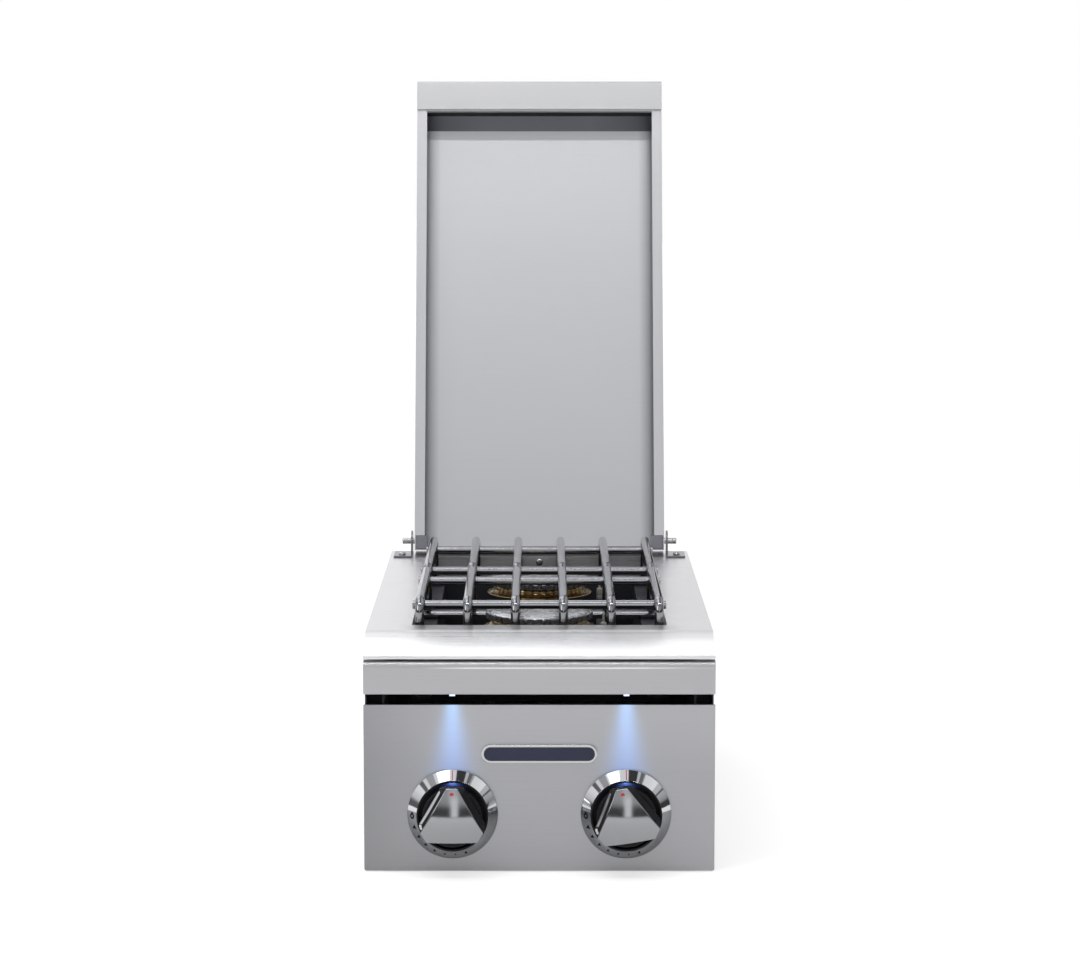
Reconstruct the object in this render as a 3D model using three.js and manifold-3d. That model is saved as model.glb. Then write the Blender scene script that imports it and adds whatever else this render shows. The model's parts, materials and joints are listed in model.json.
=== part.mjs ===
// Built in double side burner: a stainless box with a drop-down control panel, a hinged lid, two lift-off
// grates over two brass burners, and the gas train behind the panel. Millimetres, +Z up, +X right, front at -Y.
// The origin is the middle of the underside of the casing.
import * as THREE from "three";
import { mergeVertices } from "three/addons/utils/BufferGeometryUtils.js";
import Module from "manifold-3d";

const wasm = await Module();
wasm.setup();

// Driving sizes of the whole unit
const unitWidth = 340;
const unitDepth = 606;
const deckHeight = 230.6;
const sheet = 1.5;
const seatGap = 0.3;
const overrun = 2;
const frontY = -unitDepth / 2;
const backY = unitDepth / 2;

// Deck: the top frame with its nose at the front
const noseSetback = 2;
const noseDrop = 20.4;
const noseRadius = 2.5;
const noseReturn = 10;
const apronLength = 50;
const apronFall = 16.2;
const hemWidth = 12;
const sideMargin = 44;
const openingMargin = 31;
const backMargin = 48;
const openingFlange = 24;
const openingWidth = unitWidth - sideMargin * 2;
const bendY = frontY + apronLength;
const openingFrontY = bendY + openingMargin;
const openingBackY = backY - backMargin;
const openingLength = openingBackY - openingFrontY;
const deckUnder = deckHeight - sheet;

// Front rail over the control panel
const railGap = 1.6;
const railHeight = 32.5;
const railDepth = 40;
const railTopRadius = 7;
const railLip = 12;
const railTop = deckHeight - noseDrop - railGap;
const railBottom = railTop - railHeight;

// Control panel
const ventSlot = 12;
const panelInset = 10;
const panelThickness = 3;
const panelOverhang = 0.5;
const panelCornerRadius = 2;
const panelWidth = unitWidth + panelOverhang * 2;
const panelHeight = railBottom - ventSlot;
const panelFaceY = frontY + panelInset;
const panelBackY = panelFaceY + panelThickness;

// Cheek brackets that carry the rail from the back of the panel
const cheekInset = 1;
const cheekDepth = 34;
const cheekOverlap = 60;

// Casing below the deck
const casingSideInset = 18;
const casingBackInset = 13;
const casingWidth = unitWidth - casingSideInset * 2;
const casingBackY = backY - casingBackInset;

// Burner bowl
const ledgeWidth = 20;
const ledgeOverhang = 8;
const bridgeWidth = 40;
const bowlDepth = 54;
const ledgeTop = deckHeight - openingFlange - seatGap;
const bowlFloorTop = ledgeTop - bowlDepth;

// Grates
const rodRadius = 4.5;
const rodCount = 6;
const rodSideGap = 7;
const rodBend = 12;
const grateRise = 26;
const grateFrontSetback = 11;
const grateBackSetback = 5;
const grateSpacing = 5;
const crossInset = 34;
const crossOverhang = 8;
const weldBite = 0.8;
const rodPitch = (openingWidth - rodSideGap * 2) / (rodCount - 1);
const crossLength = openingWidth - rodSideGap * 2 + crossOverhang * 2;
const grateLength = (openingLength - grateFrontSetback - grateBackSetback - grateSpacing) / 2;

// Burners
const capRadius = 55;
const capTeeth = 36;
const capToothDepth = 2.4;
const capThickness = 6.6;
const capDome = 1.6;
const capSink = 4;
const domeShoulderShare = 0.8;
const domeShoulderRiseShare = 0.7;
const domeCrownShare = 0.4;
const burnerRimRadius = 48;
const burnerThroatRadius = 50.5;
const burnerThroatDrop = 5;
const burnerFlareRadius = 57.5;
const burnerFlareDrop = 10;
const burnerFlareBand = 1.5;
const burnerUnderFlare = 4;
const burnerBellyDrop = 24;
const burnerNeckRadius = 24;
const burnerNeckBore = 17;
const burnerBowlRadius = 44;
const burnerWall = 5;

// Support rails beside the burners
const supportRadius = 4.3;
const supportSetback = 62;
const supportEndGap = 0.6;

// Mixing tubes, orifices and air shutters
const tubeRadius = 15;
const tubeRun = 63;
const tubeApproach = 50.4;
const tubeBend = 21;
const tubeBore = 11;
const tubeBoreDepth = 34;
const shutterLength = 22;
const shutterWall = 1.4;
const shutterWindow = 12;
const shutterRim = 5.5;
const tubeClearance = 0.6;
const orificeRadius = 5;
const orificeLength = 16;
const orificeBore = 1;
const orificeGap = 10;

// Valves, stems and the gas manifold
const knobSpacing = 168.4;
const knobHeight = 57;
const valveWidth = 28;
const valveTall = 32;
const valveLength = 36;
const valveSetback = 6;
const valveStubRadius = 7;
const rotorRadius = 7;
const rotorLength = 26;
const rotorClearance = 0.6;
const stemWidth = 5;
const stemClearance = 0.4;
const stemRotorReach = 12;
const stemTravel = 3.5;
const manifoldRadius = 10;
const manifoldBore = 7;
const manifoldHeight = 20;
const manifoldBend = 24;
const manifoldEndReach = 22;
const manifoldSideInset = 20;
const inletRadius = 12;
const inletBore = 6;
const inletLength = 34;

// Bezels and knobs
const bezelRadius = 44;
const bezelDepth = 15;
const bezelRim = 3;
const bezelLandRadius = 34.8;
const bezelBore = 33;
const bezelBase = 1.5;
const stemHole = 9;
const knobRestTurn = [0, 9];
const gripTopWidth = 11;
const gripShoulderWidth = 61;
const gripBaseWidth = 49.6;
const gripRise = 31.7;
const gripShoulderDrop = 11.6;
const gripBaseDrop = 20.7;
const gripDepth = 22;
const ridgeReach = 3.6;
const ridgeDepth = 13;
const ridgeRadius = 32.4;
const gripBevel = 1.6;
const gripDomeRadius = 95;
const gripDomeDrop = 5.3;
const gripDomeDegrees = 30;
const gripDomeSteps = 8;
const gripClearance = 4.5;
const skirtRadius = 29;
const skirtDepth = 10;
const knobBoreDepth = 14;
const dotRadius = 2;
const dotDepth = 1.2;
const dotInset = 5.6;

// Lights under the rail and the blank plate
const lampWidth = 5.6;
const lampDepth = 5;
const lampHeight = 2;
const plateLength = 113;
const plateHeight = 18.5;
const plateThickness = 2;
const plateCentreHeight = 116;
const inlayMargin = 2.6;
const inlayThickness = 0.8;

// Lid
const lidSideOverlap = 16.5;
const lidFrontOverlap = 6;
const lidSheet = 1.2;
const lidRearReach = 11.2;
const lidInnerDepth = 40;
const lidFrontSlope = 13;
const lidRearSlope = 6.8;
const lidFlange = 11.5;
const lidRestGap = 7.5;
const lidOpenAngle = 106;
const lipReach = 34.2;
const lipThickness = 9.5;
const lipDeckGap = 4.5;
const lipEdge = 1.6;
const hingeRise = 15.5;
const hingeInset = 26;
const lugWidth = 13;
const lugForward = 5;
const lugClearance = 0.3;

const lidWidth = openingWidth + lidSideOverlap * 2;
const lidReach = backY - hingeInset - openingFrontY + lidFrontOverlap;

// Hinge brackets, pins and small screws
const earGap = 2;
const earThickness = 2;
const earRadius = 12;
const footWidth = 19;
const footFront = 31;
const footRear = 10;
const footThickness = 2;
const pinRadius = 3.5;
const pinClearance = 0.3;
const pinStandOut = 10;
const screwShankRadius = 2;
const screwHoleClearance = 0.3;
const screwHeadRadius = 4;
const screwHeadHeight = 2.4;
const screwLength = 6;
const footScrewSetback = 19;
const wallScrewDrop = 6;

// Ignition
const electrodeRadius = 3.5;
const electrodeOffset = 66;
const electrodeTipRadius = 1.2;
const electrodeTipRise = 6;
const sparkBoxWidth = 60;
const sparkBoxDepth = 44;
const sparkBoxHeight = 30;
const sparkBoxBackSetback = 60;

// Round pieces: how many flats stand for a circle
const fineSides = 48;
const roundSides = 24;
const smallSides = 16;
const rodSides = 10;
const bendSteps = 4;

// Finishes
const finishes = {
  brushed: { color: 0xb9bbbe, roughness: 0.34, metalness: 1 },
  satin: { color: 0xc9cbce, roughness: 0.28, metalness: 1 },
  polished: { color: 0xd6d8da, roughness: 0.12, metalness: 1 },
  chrome: { color: 0xdfe1e4, roughness: 0.05, metalness: 1 },
  brass: { color: 0xc79a4b, roughness: 0.3, metalness: 1 },
  castIron: { color: 0x55585a, roughness: 0.6, metalness: 0.9 },
  galvanised: { color: 0x9ea3a6, roughness: 0.5, metalness: 0.9 },
  ceramic: { color: 0xf2efe8, roughness: 0.35, metalness: 0 },
  blackPlastic: { color: 0x1a1b1d, roughness: 0.45, metalness: 0 },
  lens: { color: 0xf4f7ff, roughness: 0.2, metalness: 0 },
  red: { color: 0xc41422, roughness: 0.35, metalness: 0 },
  inlay: { color: 0x1b2438, roughness: 0.3, metalness: 0 },
};

const burner = new THREE.Group();
burner.name = "built_in_side_burner";

// Solids and booleans
function solid(geometry) {
  const bare = geometry.clone();
  bare.deleteAttribute("normal");
  bare.deleteAttribute("uv");
  const merged = mergeVertices(bare, 1e-4);
  const triVerts = new Uint32Array(merged.index.array);
  const vertProperties = new Float32Array(merged.attributes.position.array);
  const made = new wasm.Manifold(new wasm.Mesh({ numProp: 3, vertProperties, triVerts }));
  if (made.volume() >= 0) return made;
  const turned = triVerts.slice();
  for (let i = 0; i < turned.length; i += 3) {
    turned[i + 1] = triVerts[i + 2];
    turned[i + 2] = triVerts[i + 1];
  }
  return new wasm.Manifold(new wasm.Mesh({ numProp: 3, vertProperties, triVerts: turned }));
}

function geometryOf(made) {
  const mesh = made.getMesh();
  const positions = new Float32Array(mesh.numVert * 3);
  for (let i = 0; i < mesh.numVert; i++) {
    positions.set(mesh.vertProperties.subarray(i * mesh.numProp, i * mesh.numProp + 3), i * 3);
  }
  const geometry = new THREE.BufferGeometry();
  geometry.setAttribute("position", new THREE.BufferAttribute(positions, 3));
  geometry.setIndex(new THREE.BufferAttribute(new Uint32Array(mesh.triVerts), 1));
  geometry.computeVertexNormals();
  return geometry;
}

function join(first, ...others) {
  return others.reduce((sum, next) => sum.add(next), first);
}

function cut(first, ...tools) {
  return tools.reduce((rest, tool) => rest.subtract(tool), first);
}

function place(name, shape, finish, parent = burner) {
  const mesh = new THREE.Mesh(geometryOf(shape), new THREE.MeshStandardMaterial(finishes[finish]));
  mesh.name = name;
  parent.add(mesh);
  return mesh;
}

// Basic shapes, each given by where its faces lie
function block([x0, x1], [y0, y1], [z0, z1]) {
  const box = new THREE.BoxGeometry(x1 - x0, y1 - y0, z1 - z0);
  box.translate((x0 + x1) / 2, (y0 + y1) / 2, (z0 + z1) / 2);
  return solid(box);
}

function rodX(radius, [x0, x1], y, z, sides = roundSides) {
  const rod = new THREE.CylinderGeometry(radius, radius, x1 - x0, sides);
  rod.rotateZ(Math.PI / 2);
  rod.translate((x0 + x1) / 2, y, z);
  return solid(rod);
}

function rodY(radius, x, [y0, y1], z, sides = roundSides) {
  const rod = new THREE.CylinderGeometry(radius, radius, y1 - y0, sides);
  rod.translate(x, (y0 + y1) / 2, z);
  return solid(rod);
}

function rodZ(radius, x, y, [z0, z1], sides = roundSides) {
  const rod = new THREE.CylinderGeometry(radius, radius, z1 - z0, sides);
  rod.rotateX(Math.PI / 2);
  rod.translate(x, y, (z0 + z1) / 2);
  return solid(rod);
}

// A turned piece: its profile gives [radius, height] with heights along +Z
function turnedUp(profile, x, y, z, sides = fineSides) {
  const turned = new THREE.LatheGeometry(profile.map(([r, h]) => new THREE.Vector2(r, h)), sides);
  turned.rotateX(Math.PI / 2);
  turned.translate(x, y, z);
  return solid(turned);
}

// The same with heights towards the viewer, along -Y
function turnedForward(profile, x, y, z, sides = fineSides) {
  const turned = new THREE.LatheGeometry(profile.map(([r, h]) => new THREE.Vector2(r, h)), sides);
  turned.rotateX(Math.PI);
  turned.translate(x, y, z);
  return solid(turned);
}

// A side outline, given as [y, z] points, drawn out across the width between two x places
function acrossWidth(outline, [x0, x1]) {
  const shape = new THREE.Shape(outline.map(([y, z]) => new THREE.Vector2(y, z)));
  const drawn = new THREE.ExtrudeGeometry(shape, { depth: x1 - x0, bevelEnabled: false });
  drawn.applyMatrix4(new THREE.Matrix4().makeBasis(
    new THREE.Vector3(0, 1, 0), new THREE.Vector3(0, 0, 1), new THREE.Vector3(1, 0, 0)));
  drawn.translate(x0, 0, 0);
  return solid(drawn);
}

// A front outline, given as a shape in x and z, drawn out along Y
function alongDepth(shape, [y0, y1], options = {}) {
  const drawn = new THREE.ExtrudeGeometry(shape, { depth: y1 - y0, bevelEnabled: false, ...options });
  drawn.rotateX(Math.PI / 2);
  drawn.translate(0, y1, 0);
  return solid(drawn);
}

// An arc of outline points about a centre
function arcPoints([cy, cz], radius, fromDegrees, toDegrees, steps = bendSteps) {
  return Array.from({ length: steps + 1 }, (_, i) => {
    const angle = THREE.MathUtils.degToRad(fromDegrees + ((toDegrees - fromDegrees) * i) / steps);
    return [cy + radius * Math.cos(angle), cz + radius * Math.sin(angle)];
  });
}

// A route of straight runs with rounded corners, with a station at each end of a run and along each bend
class BentPath extends THREE.Curve {
  constructor(corners, bend) {
    super();
    this.stations = [];
    this.tangents = [];
    const points = corners.map((corner) => new THREE.Vector3(...corner));
    const heading = (i) => points[i + 1].clone().sub(points[i]).normalize();
    this.addStation(points[0], heading(0));
    for (let i = 1; i < points.length - 1; i++) this.addBend(points[i], heading(i - 1), heading(i), bend);
    this.addStation(points[points.length - 1], heading(points.length - 2));
  }

  addStation(point, tangent) {
    this.stations.push(point.clone());
    this.tangents.push(tangent.clone());
  }

  addBend(corner, before, after, bend) {
    const turn = before.angleTo(after);
    const start = corner.clone().addScaledVector(before, -bend * Math.tan(turn / 2));
    const inward = after.clone().addScaledVector(before, -Math.cos(turn)).normalize();
    for (let k = 0; k <= bendSteps; k++) {
      const angle = (turn * k) / bendSteps;
      const point = start.clone().addScaledVector(before, bend * Math.sin(angle));
      point.addScaledVector(inward, bend * (1 - Math.cos(angle)));
      const tangent = before.clone().multiplyScalar(Math.cos(angle)).addScaledVector(inward, Math.sin(angle));
      this.addStation(point, tangent);
    }
  }

  getSpacedPoints() {
    return this.stations;
  }

  getTangentAt(share, target = new THREE.Vector3()) {
    return target.copy(this.tangents[Math.round(share * (this.tangents.length - 1))]);
  }
}

function bentRod(corners, radius, bend, sides = rodSides) {
  const path = new BentPath(corners, bend);
  const ring = Array.from({ length: sides }, (_, i) => {
    const angle = (2 * Math.PI * i) / sides;
    return new THREE.Vector2(radius * Math.cos(angle), radius * Math.sin(angle));
  });
  const steps = path.stations.length - 1;
  return solid(new THREE.ExtrudeGeometry(new THREE.Shape(ring), { steps, extrudePath: path }));
}

// Deck: one bent sheet from the back edge to the nose, with the burner opening and its turned-down flanges
const halfWidth = unitWidth / 2;
const noseY = frontY + noseSetback;
const noseBottom = deckHeight - noseDrop;
const openingX = openingWidth / 2;

const apronSlope = apronFall / (bendY - noseY - noseRadius);
const apronDegrees = THREE.MathUtils.radToDeg(Math.atan(apronSlope));

function deckOutline() {
  const centre = [noseY + noseRadius, deckHeight - apronFall - noseRadius];
  const outer = [
    [backY, deckHeight],
    [bendY, deckHeight],
    ...arcPoints(centre, noseRadius, 90 + apronDegrees, 180),
    [noseY, noseBottom],
    [noseY + noseReturn, noseBottom],
  ];
  const inner = [
    [noseY + noseReturn, noseBottom + sheet],
    [noseY + sheet, noseBottom + sheet],
    ...arcPoints(centre, noseRadius - sheet, 180, 90 + apronDegrees),
    [bendY, deckUnder],
    [backY, deckUnder],
  ];
  return [...outer, ...inner];
}

const hingeY = backY - hingeInset;
const hingeZ = deckHeight + hingeRise;
const earInnerX = lidWidth / 2 + earGap;
const earOuterX = earInnerX + earThickness;
const footScrewX = earOuterX + footWidth / 2;
const footScrewY = hingeY - footScrewSetback;
const wallScrewZ = deckHeight - wallScrewDrop;
const screwHoleRadius = screwShankRadius + screwHoleClearance;

function deckShape() {
  const across = [-halfWidth, halfWidth];
  const opening = block(
    [-openingX, openingX],
    [openingFrontY, openingBackY],
    [deckUnder - openingFlange - overrun, deckHeight + overrun],
  );
  const flange = block(
    [-openingX - sheet, openingX + sheet],
    [openingFrontY - sheet, openingBackY + sheet],
    [deckHeight - openingFlange, deckUnder + sheet / 2],
  );
  const hemZ = [deckUnder - sheet, deckUnder + sheet / 2];
  const leftHem = block([-halfWidth, -halfWidth + hemWidth], [bendY, backY], hemZ);
  const rightHem = block([halfWidth - hemWidth, halfWidth], [bendY, backY], hemZ);
  const backHem = block(across, [backY - hemWidth, backY], hemZ);
  const footHoles = [-1, 1].map((side) =>
    rodZ(screwHoleRadius, side * footScrewX, footScrewY, [deckUnder - sheet - overrun, deckHeight + overrun], smallSides));
  const wallHole = rodY(screwHoleRadius, 0, [openingBackY - overrun, openingBackY + sheet + overrun], wallScrewZ,
    smallSides);
  const whole = join(acrossWidth(deckOutline(), across), flange, leftHem, rightHem, backHem);
  return cut(whole, opening, ...footHoles, wallHole);
}
place("deck", deckShape(), "brushed");

// Front rail: a folded channel with a rounded top edge and a lip turned back under it
function railOutline() {
  const centre = [frontY + railTopRadius, railTop - railTopRadius];
  return [
    [frontY + railDepth, railTop],
    ...arcPoints(centre, railTopRadius, 90, 180),
    [frontY, railBottom],
    [frontY + railLip, railBottom],
    [frontY + railLip, railBottom + sheet],
    [frontY + sheet, railBottom + sheet],
    ...arcPoints(centre, railTopRadius - sheet, 180, 90),
    [frontY + railDepth, railTop - sheet],
  ];
}
place("front_rail", acrossWidth(railOutline(), [-halfWidth, halfWidth]), "brushed");

// Cheek brackets stand behind the panel, reach up inside the rail and turn inwards to the side of the casing
function cheekShape(side) {
  const outer = halfWidth - cheekInset;
  const inner = casingWidth / 2 + seatGap;
  const backEdge = panelBackY + seatGap + cheekDepth;
  const zs = [panelHeight - cheekOverlap, railTop - sheet - seatGap];
  const across = (from, to) => (side < 0 ? [-to, -from] : [from, to]);
  const plate = block(across(outer - sheet, outer), [panelBackY + seatGap, backEdge], zs);
  const wing = block(across(inner, outer), [backEdge - sheet, backEdge], zs);
  return join(plate, wing);
}
for (const [side, name] of [[-1, "left"], [1, "right"]]) {
  place(`${name}_rail_cheek`, cheekShape(side), "castIron");
}

// Control panel: a flat plate with small corner radii at the bottom and two valve holes
function panelShape() {
  const half = panelWidth / 2;
  const face = new THREE.Shape();
  face.moveTo(half, panelHeight);
  face.lineTo(-half, panelHeight);
  face.lineTo(-half, panelCornerRadius);
  face.absarc(-half + panelCornerRadius, panelCornerRadius, panelCornerRadius, Math.PI, Math.PI * 1.5, false);
  face.lineTo(half - panelCornerRadius, 0);
  face.absarc(half - panelCornerRadius, panelCornerRadius, panelCornerRadius, -Math.PI / 2, 0, false);
  const plate = alongDepth(face, [panelFaceY, panelBackY], { curveSegments: bendSteps });
  const holes = [-1, 1].map((side) => rodY(stemHole, side * knobSpacing / 2,
    [panelFaceY - overrun, panelBackY + overrun], knobHeight));
  return cut(plate, ...holes);
}
place("control_panel", panelShape(), "brushed");

// Casing: two sides, a back and a bottom, folded separately and butted
const casingX = casingWidth / 2;
const casingFrontY = panelBackY + seatGap;
const casingTop = deckUnder - seatGap;
const inletX = casingX - manifoldSideInset;
place("casing_bottom", block([-casingX, casingX], [casingFrontY, casingBackY], [0, sheet]), "galvanised");

// Each side is stepped down at the front, where it reaches up inside the rail
function casingSideOutline() {
  const bottom = sheet + seatGap;
  const stepY = frontY + railDepth + seatGap;
  const stepZ = railTop - sheet - seatGap;
  return [[casingFrontY, bottom], [casingBackY, bottom], [casingBackY, casingTop], [bendY, casingTop],
    [stepY, casingTop - (bendY - stepY) * apronSlope - seatGap], [stepY, stepZ], [casingFrontY, stepZ]];
}
for (const [side, name] of [[-1, "left"], [1, "right"]]) {
  const xs = side < 0 ? [-casingX, -casingX + sheet] : [casingX - sheet, casingX];
  place(`casing_${name}`, acrossWidth(casingSideOutline(), xs), "galvanised");
}

function casingBackShape() {
  const inner = casingX - sheet - seatGap;
  const wall = block([-inner, inner], [casingBackY - sheet, casingBackY], [sheet + seatGap, casingTop]);
  const inletHole = rodY(inletRadius + seatGap, inletX, [casingBackY - sheet - overrun, casingBackY + overrun],
    manifoldHeight);
  return cut(wall, inletHole);
}
place("casing_back", casingBackShape(), "galvanised");

// Burner bowl: a ledge that carries the grates, a bridge across the middle, and the pan below
const frontBurnerY = openingFrontY + grateFrontSetback + grateLength / 2;
const rearBurnerY = frontBurnerY + grateLength + grateSpacing;
const bridgeY = (frontBurnerY + rearBurnerY) / 2;
const electrodeX = electrodeOffset;

function bowlShape() {
  const outerX = openingX + ledgeOverhang;
  const innerX = openingX - ledgeWidth;
  const pan = [openingFrontY + ledgeWidth, openingBackY - ledgeWidth];
  const ledgeY = [openingFrontY - ledgeOverhang, openingBackY + ledgeOverhang];
  const ledge = block([-outerX, outerX], ledgeY, [ledgeTop - sheet, ledgeTop]);
  const tub = block([-innerX - sheet, innerX + sheet], [pan[0] - sheet, pan[1] + sheet],
    [bowlFloorTop - sheet, ledgeTop - sheet / 2]);
  const hollow = block([-innerX, innerX], pan, [bowlFloorTop, ledgeTop - sheet]);
  const wellZ = [ledgeTop - sheet - overrun, ledgeTop + overrun];
  const frontWell = block([-innerX, innerX], [pan[0], bridgeY - bridgeWidth / 2], wellZ);
  const rearWell = block([-innerX, innerX], [bridgeY + bridgeWidth / 2, pan[1]], wellZ);
  const tubeHoles = [frontBurnerY, rearBurnerY].map((y) =>
    rodZ(tubeRadius + tubeClearance, 0, y, [bowlFloorTop - sheet - overrun, bowlFloorTop + overrun]));
  return cut(join(ledge, tub), hollow, frontWell, rearWell, ...tubeHoles);
}
place("burner_bowl", bowlShape(), "castIron");

// Grates: six rods bent down into legs at both ends, welded over two cross rods
const rodCentreZ = deckHeight + grateRise - rodRadius;

function grateShape(middleY) {
  const ends = [middleY - grateLength / 2 + rodRadius, middleY + grateLength / 2 - rodRadius];
  const legBottom = ledgeTop + seatGap;
  const rods = Array.from({ length: rodCount }, (_, i) => {
    const x = (i - (rodCount - 1) / 2) * rodPitch;
    return bentRod([[x, ends[0], legBottom], [x, ends[0], rodCentreZ], [x, ends[1], rodCentreZ],
      [x, ends[1], legBottom]], rodRadius, rodBend);
  });
  const crossZ = rodCentreZ - rodRadius * 2 + weldBite;
  const crosses = [-1, 1].map((end) => rodX(rodRadius, [-crossLength / 2, crossLength / 2],
    middleY + end * (grateLength / 2 - crossInset), crossZ, rodSides));
  return join(...rods, ...crosses);
}
place("front_grate", grateShape(frontBurnerY), "polished");
place("rear_grate", grateShape(rearBurnerY), "polished");

// Burner caps: a flat disc with a notched rim and a shallow dome
const capTop = deckHeight - capSink;
const capBottom = capTop - capDome - capThickness;

function capShape(y) {
  const rim = new THREE.Shape(Array.from({ length: capTeeth * 4 }, (_, i) => {
    const reach = i % 4 < 2 ? capRadius : capRadius - capToothDepth;
    const angle = (2 * Math.PI * (i + 0.5)) / (capTeeth * 4);
    return new THREE.Vector2(reach * Math.cos(angle), reach * Math.sin(angle));
  }));
  const disc = new THREE.ExtrudeGeometry(rim, { depth: capThickness, bevelEnabled: false });
  disc.translate(0, y, capBottom);
  const domeRadius = capRadius - capToothDepth * 2;
  const dome = turnedUp([
    [0, -capThickness / 2],
    [domeRadius, -capThickness / 2],
    [domeRadius, 0],
    [domeRadius * domeShoulderShare, capDome * domeShoulderRiseShare],
    [domeRadius * domeCrownShare, capDome],
    [0, capDome],
  ], 0, y, capBottom + capThickness);
  return join(solid(disc), dome);
}

// Burner bodies: a flared brass ring over a belly, with a bored neck that takes the mixing tube
const bodyTop = capBottom - seatGap;
const neckBottom = bowlFloorTop + seatGap;

function burnerBodyShape(y) {
  const drop = (z) => z - neckBottom;
  return turnedUp([
    [burnerNeckBore, 0],
    [burnerNeckRadius, 0],
    [burnerNeckRadius, drop(bodyTop - burnerBellyDrop)],
    [burnerBowlRadius, drop(bodyTop - burnerFlareDrop - burnerUnderFlare)],
    [burnerFlareRadius, drop(bodyTop - burnerFlareDrop)],
    [burnerFlareRadius, drop(bodyTop - burnerFlareDrop + burnerFlareBand)],
    [burnerThroatRadius, drop(bodyTop - burnerThroatDrop)],
    [burnerRimRadius, drop(bodyTop)],
    [burnerRimRadius - burnerWall, drop(bodyTop)],
    [burnerRimRadius - burnerWall * 2, drop(bodyTop - burnerFlareDrop)],
    [burnerNeckBore, drop(bodyTop - burnerBellyDrop)],
    [burnerNeckBore, 0],
  ], 0, y, neckBottom);
}
for (const [name, y] of [["front", frontBurnerY], ["rear", rearBurnerY]]) {
  place(`${name}_burner_cap`, capShape(y), "satin");
  place(`${name}_burner_body`, burnerBodyShape(y), "brass");
  const railEnd = openingX - supportEndGap;
  const rail = rodX(supportRadius, [-railEnd, railEnd], y + supportSetback,
    ledgeTop + seatGap + supportRadius, rodSides);
  place(`${name}_support_rail`, rail, "polished");
  const tip = rodZ(electrodeTipRadius, electrodeX, y, [bodyTop - burnerFlareDrop, bodyTop + electrodeTipRise],
    smallSides);
  const stick = rodZ(electrodeRadius, electrodeX, y, [bowlFloorTop + seatGap, bodyTop - burnerFlareDrop / 2],
    smallSides);
  place(`${name}_igniter`, join(stick, tip), "ceramic");
}

// Gas train: valve, rotor, orifice, air shutter and mixing tube for each burner
const valveFrontY = panelBackY + valveSetback;
const valveBackY = valveFrontY + valveLength;
const orificeEndY = valveBackY + seatGap + orificeLength;
const tubeMouthY = orificeEndY - orificeGap;
const tubeTop = neckBottom + burnerNeckBore;
const manifoldY = (valveFrontY + valveBackY) / 2;
const rotorFrontY = valveFrontY - seatGap;

function valveShape(x) {
  const body = block([x - valveWidth / 2, x + valveWidth / 2], [valveFrontY, valveBackY],
    [knobHeight - valveTall / 2, knobHeight + valveTall / 2]);
  const stub = rodZ(valveStubRadius, x, manifoldY,
    [manifoldHeight + manifoldRadius + seatGap, knobHeight - valveTall / 2 + overrun], smallSides);
  const bore = rodY(rotorRadius + rotorClearance, x,
    [valveFrontY - overrun, rotorFrontY + rotorLength + rotorClearance], knobHeight);
  return cut(join(body, stub), bore);
}

function rotorShape(x) {
  const plug = rodY(rotorRadius, x, [rotorFrontY, rotorFrontY + rotorLength], knobHeight);
  const half = stemWidth / 2 + stemClearance;
  const slot = block([x - half, x + half],
    [rotorFrontY - overrun, rotorFrontY + stemRotorReach + stemTravel + stemClearance],
    [knobHeight - half, knobHeight + half]);
  return cut(plug, slot);
}

function tubeShape(x, endY) {
  const route = [[x, tubeMouthY, knobHeight], [x, tubeMouthY + tubeRun, knobHeight],
    [0, endY - tubeApproach, knobHeight], [0, endY, knobHeight], [0, endY, tubeTop]];
  const bore = rodY(tubeBore, x, [tubeMouthY - overrun, tubeMouthY + tubeBoreDepth], knobHeight);
  const rise = rodZ(tubeBore, 0, endY, [tubeTop - tubeBoreDepth, tubeTop + overrun]);
  return cut(bentRod(route, tubeRadius, tubeBend, smallSides), bore, rise);
}

function shutterShape(x) {
  const ys = [tubeMouthY, tubeMouthY + shutterLength];
  const outer = tubeRadius + tubeClearance + shutterWall;
  const sleeve = rodY(outer, x, ys, knobHeight);
  const bore = rodY(tubeRadius + tubeClearance, x, [ys[0] - overrun, ys[1] + overrun], knobHeight);
  const window = block([x - outer - overrun, x + outer + overrun],
    [ys[0] + shutterRim, ys[1] - shutterRim],
    [knobHeight + shutterWindow / 2, knobHeight + outer + overrun]);
  return cut(sleeve, bore, window);
}

function orificeShape(x) {
  const ys = [valveBackY + seatGap, orificeEndY];
  return cut(rodY(orificeRadius, x, ys, knobHeight, smallSides),
    rodY(orificeBore, x, [ys[0] - overrun, ys[1] + overrun], knobHeight, rodSides));
}

// Bezel: a chamfered ring with a deep bore and a thin base against the panel
function bezelShape(x) {
  return turnedForward([
    [stemHole, 0],
    [bezelRadius, 0],
    [bezelRadius, bezelRim],
    [bezelLandRadius, bezelDepth],
    [bezelBore, bezelDepth],
    [bezelBore, bezelBase],
    [stemHole, bezelBase],
    [stemHole, 0],
  ], x, panelFaceY - seatGap, knobHeight);
}

// Knob: a truncated triangle with a crowned face on a round skirt, drawn about its own axis
const bezelFrontY = panelFaceY - seatGap - bezelDepth;
const gripBackY = bezelFrontY - gripClearance;
const gripFrontY = gripBackY - gripDepth;
const stemTipY = gripBackY - knobBoreDepth + skirtDepth;
const dotHeight = gripRise - dotInset;
const dotDomeHeight = dotHeight + gripDomeDrop;
const dotFaceY = gripFrontY + gripDomeRadius - Math.sqrt(gripDomeRadius ** 2 - dotDomeHeight ** 2) - seatGap;

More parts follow.
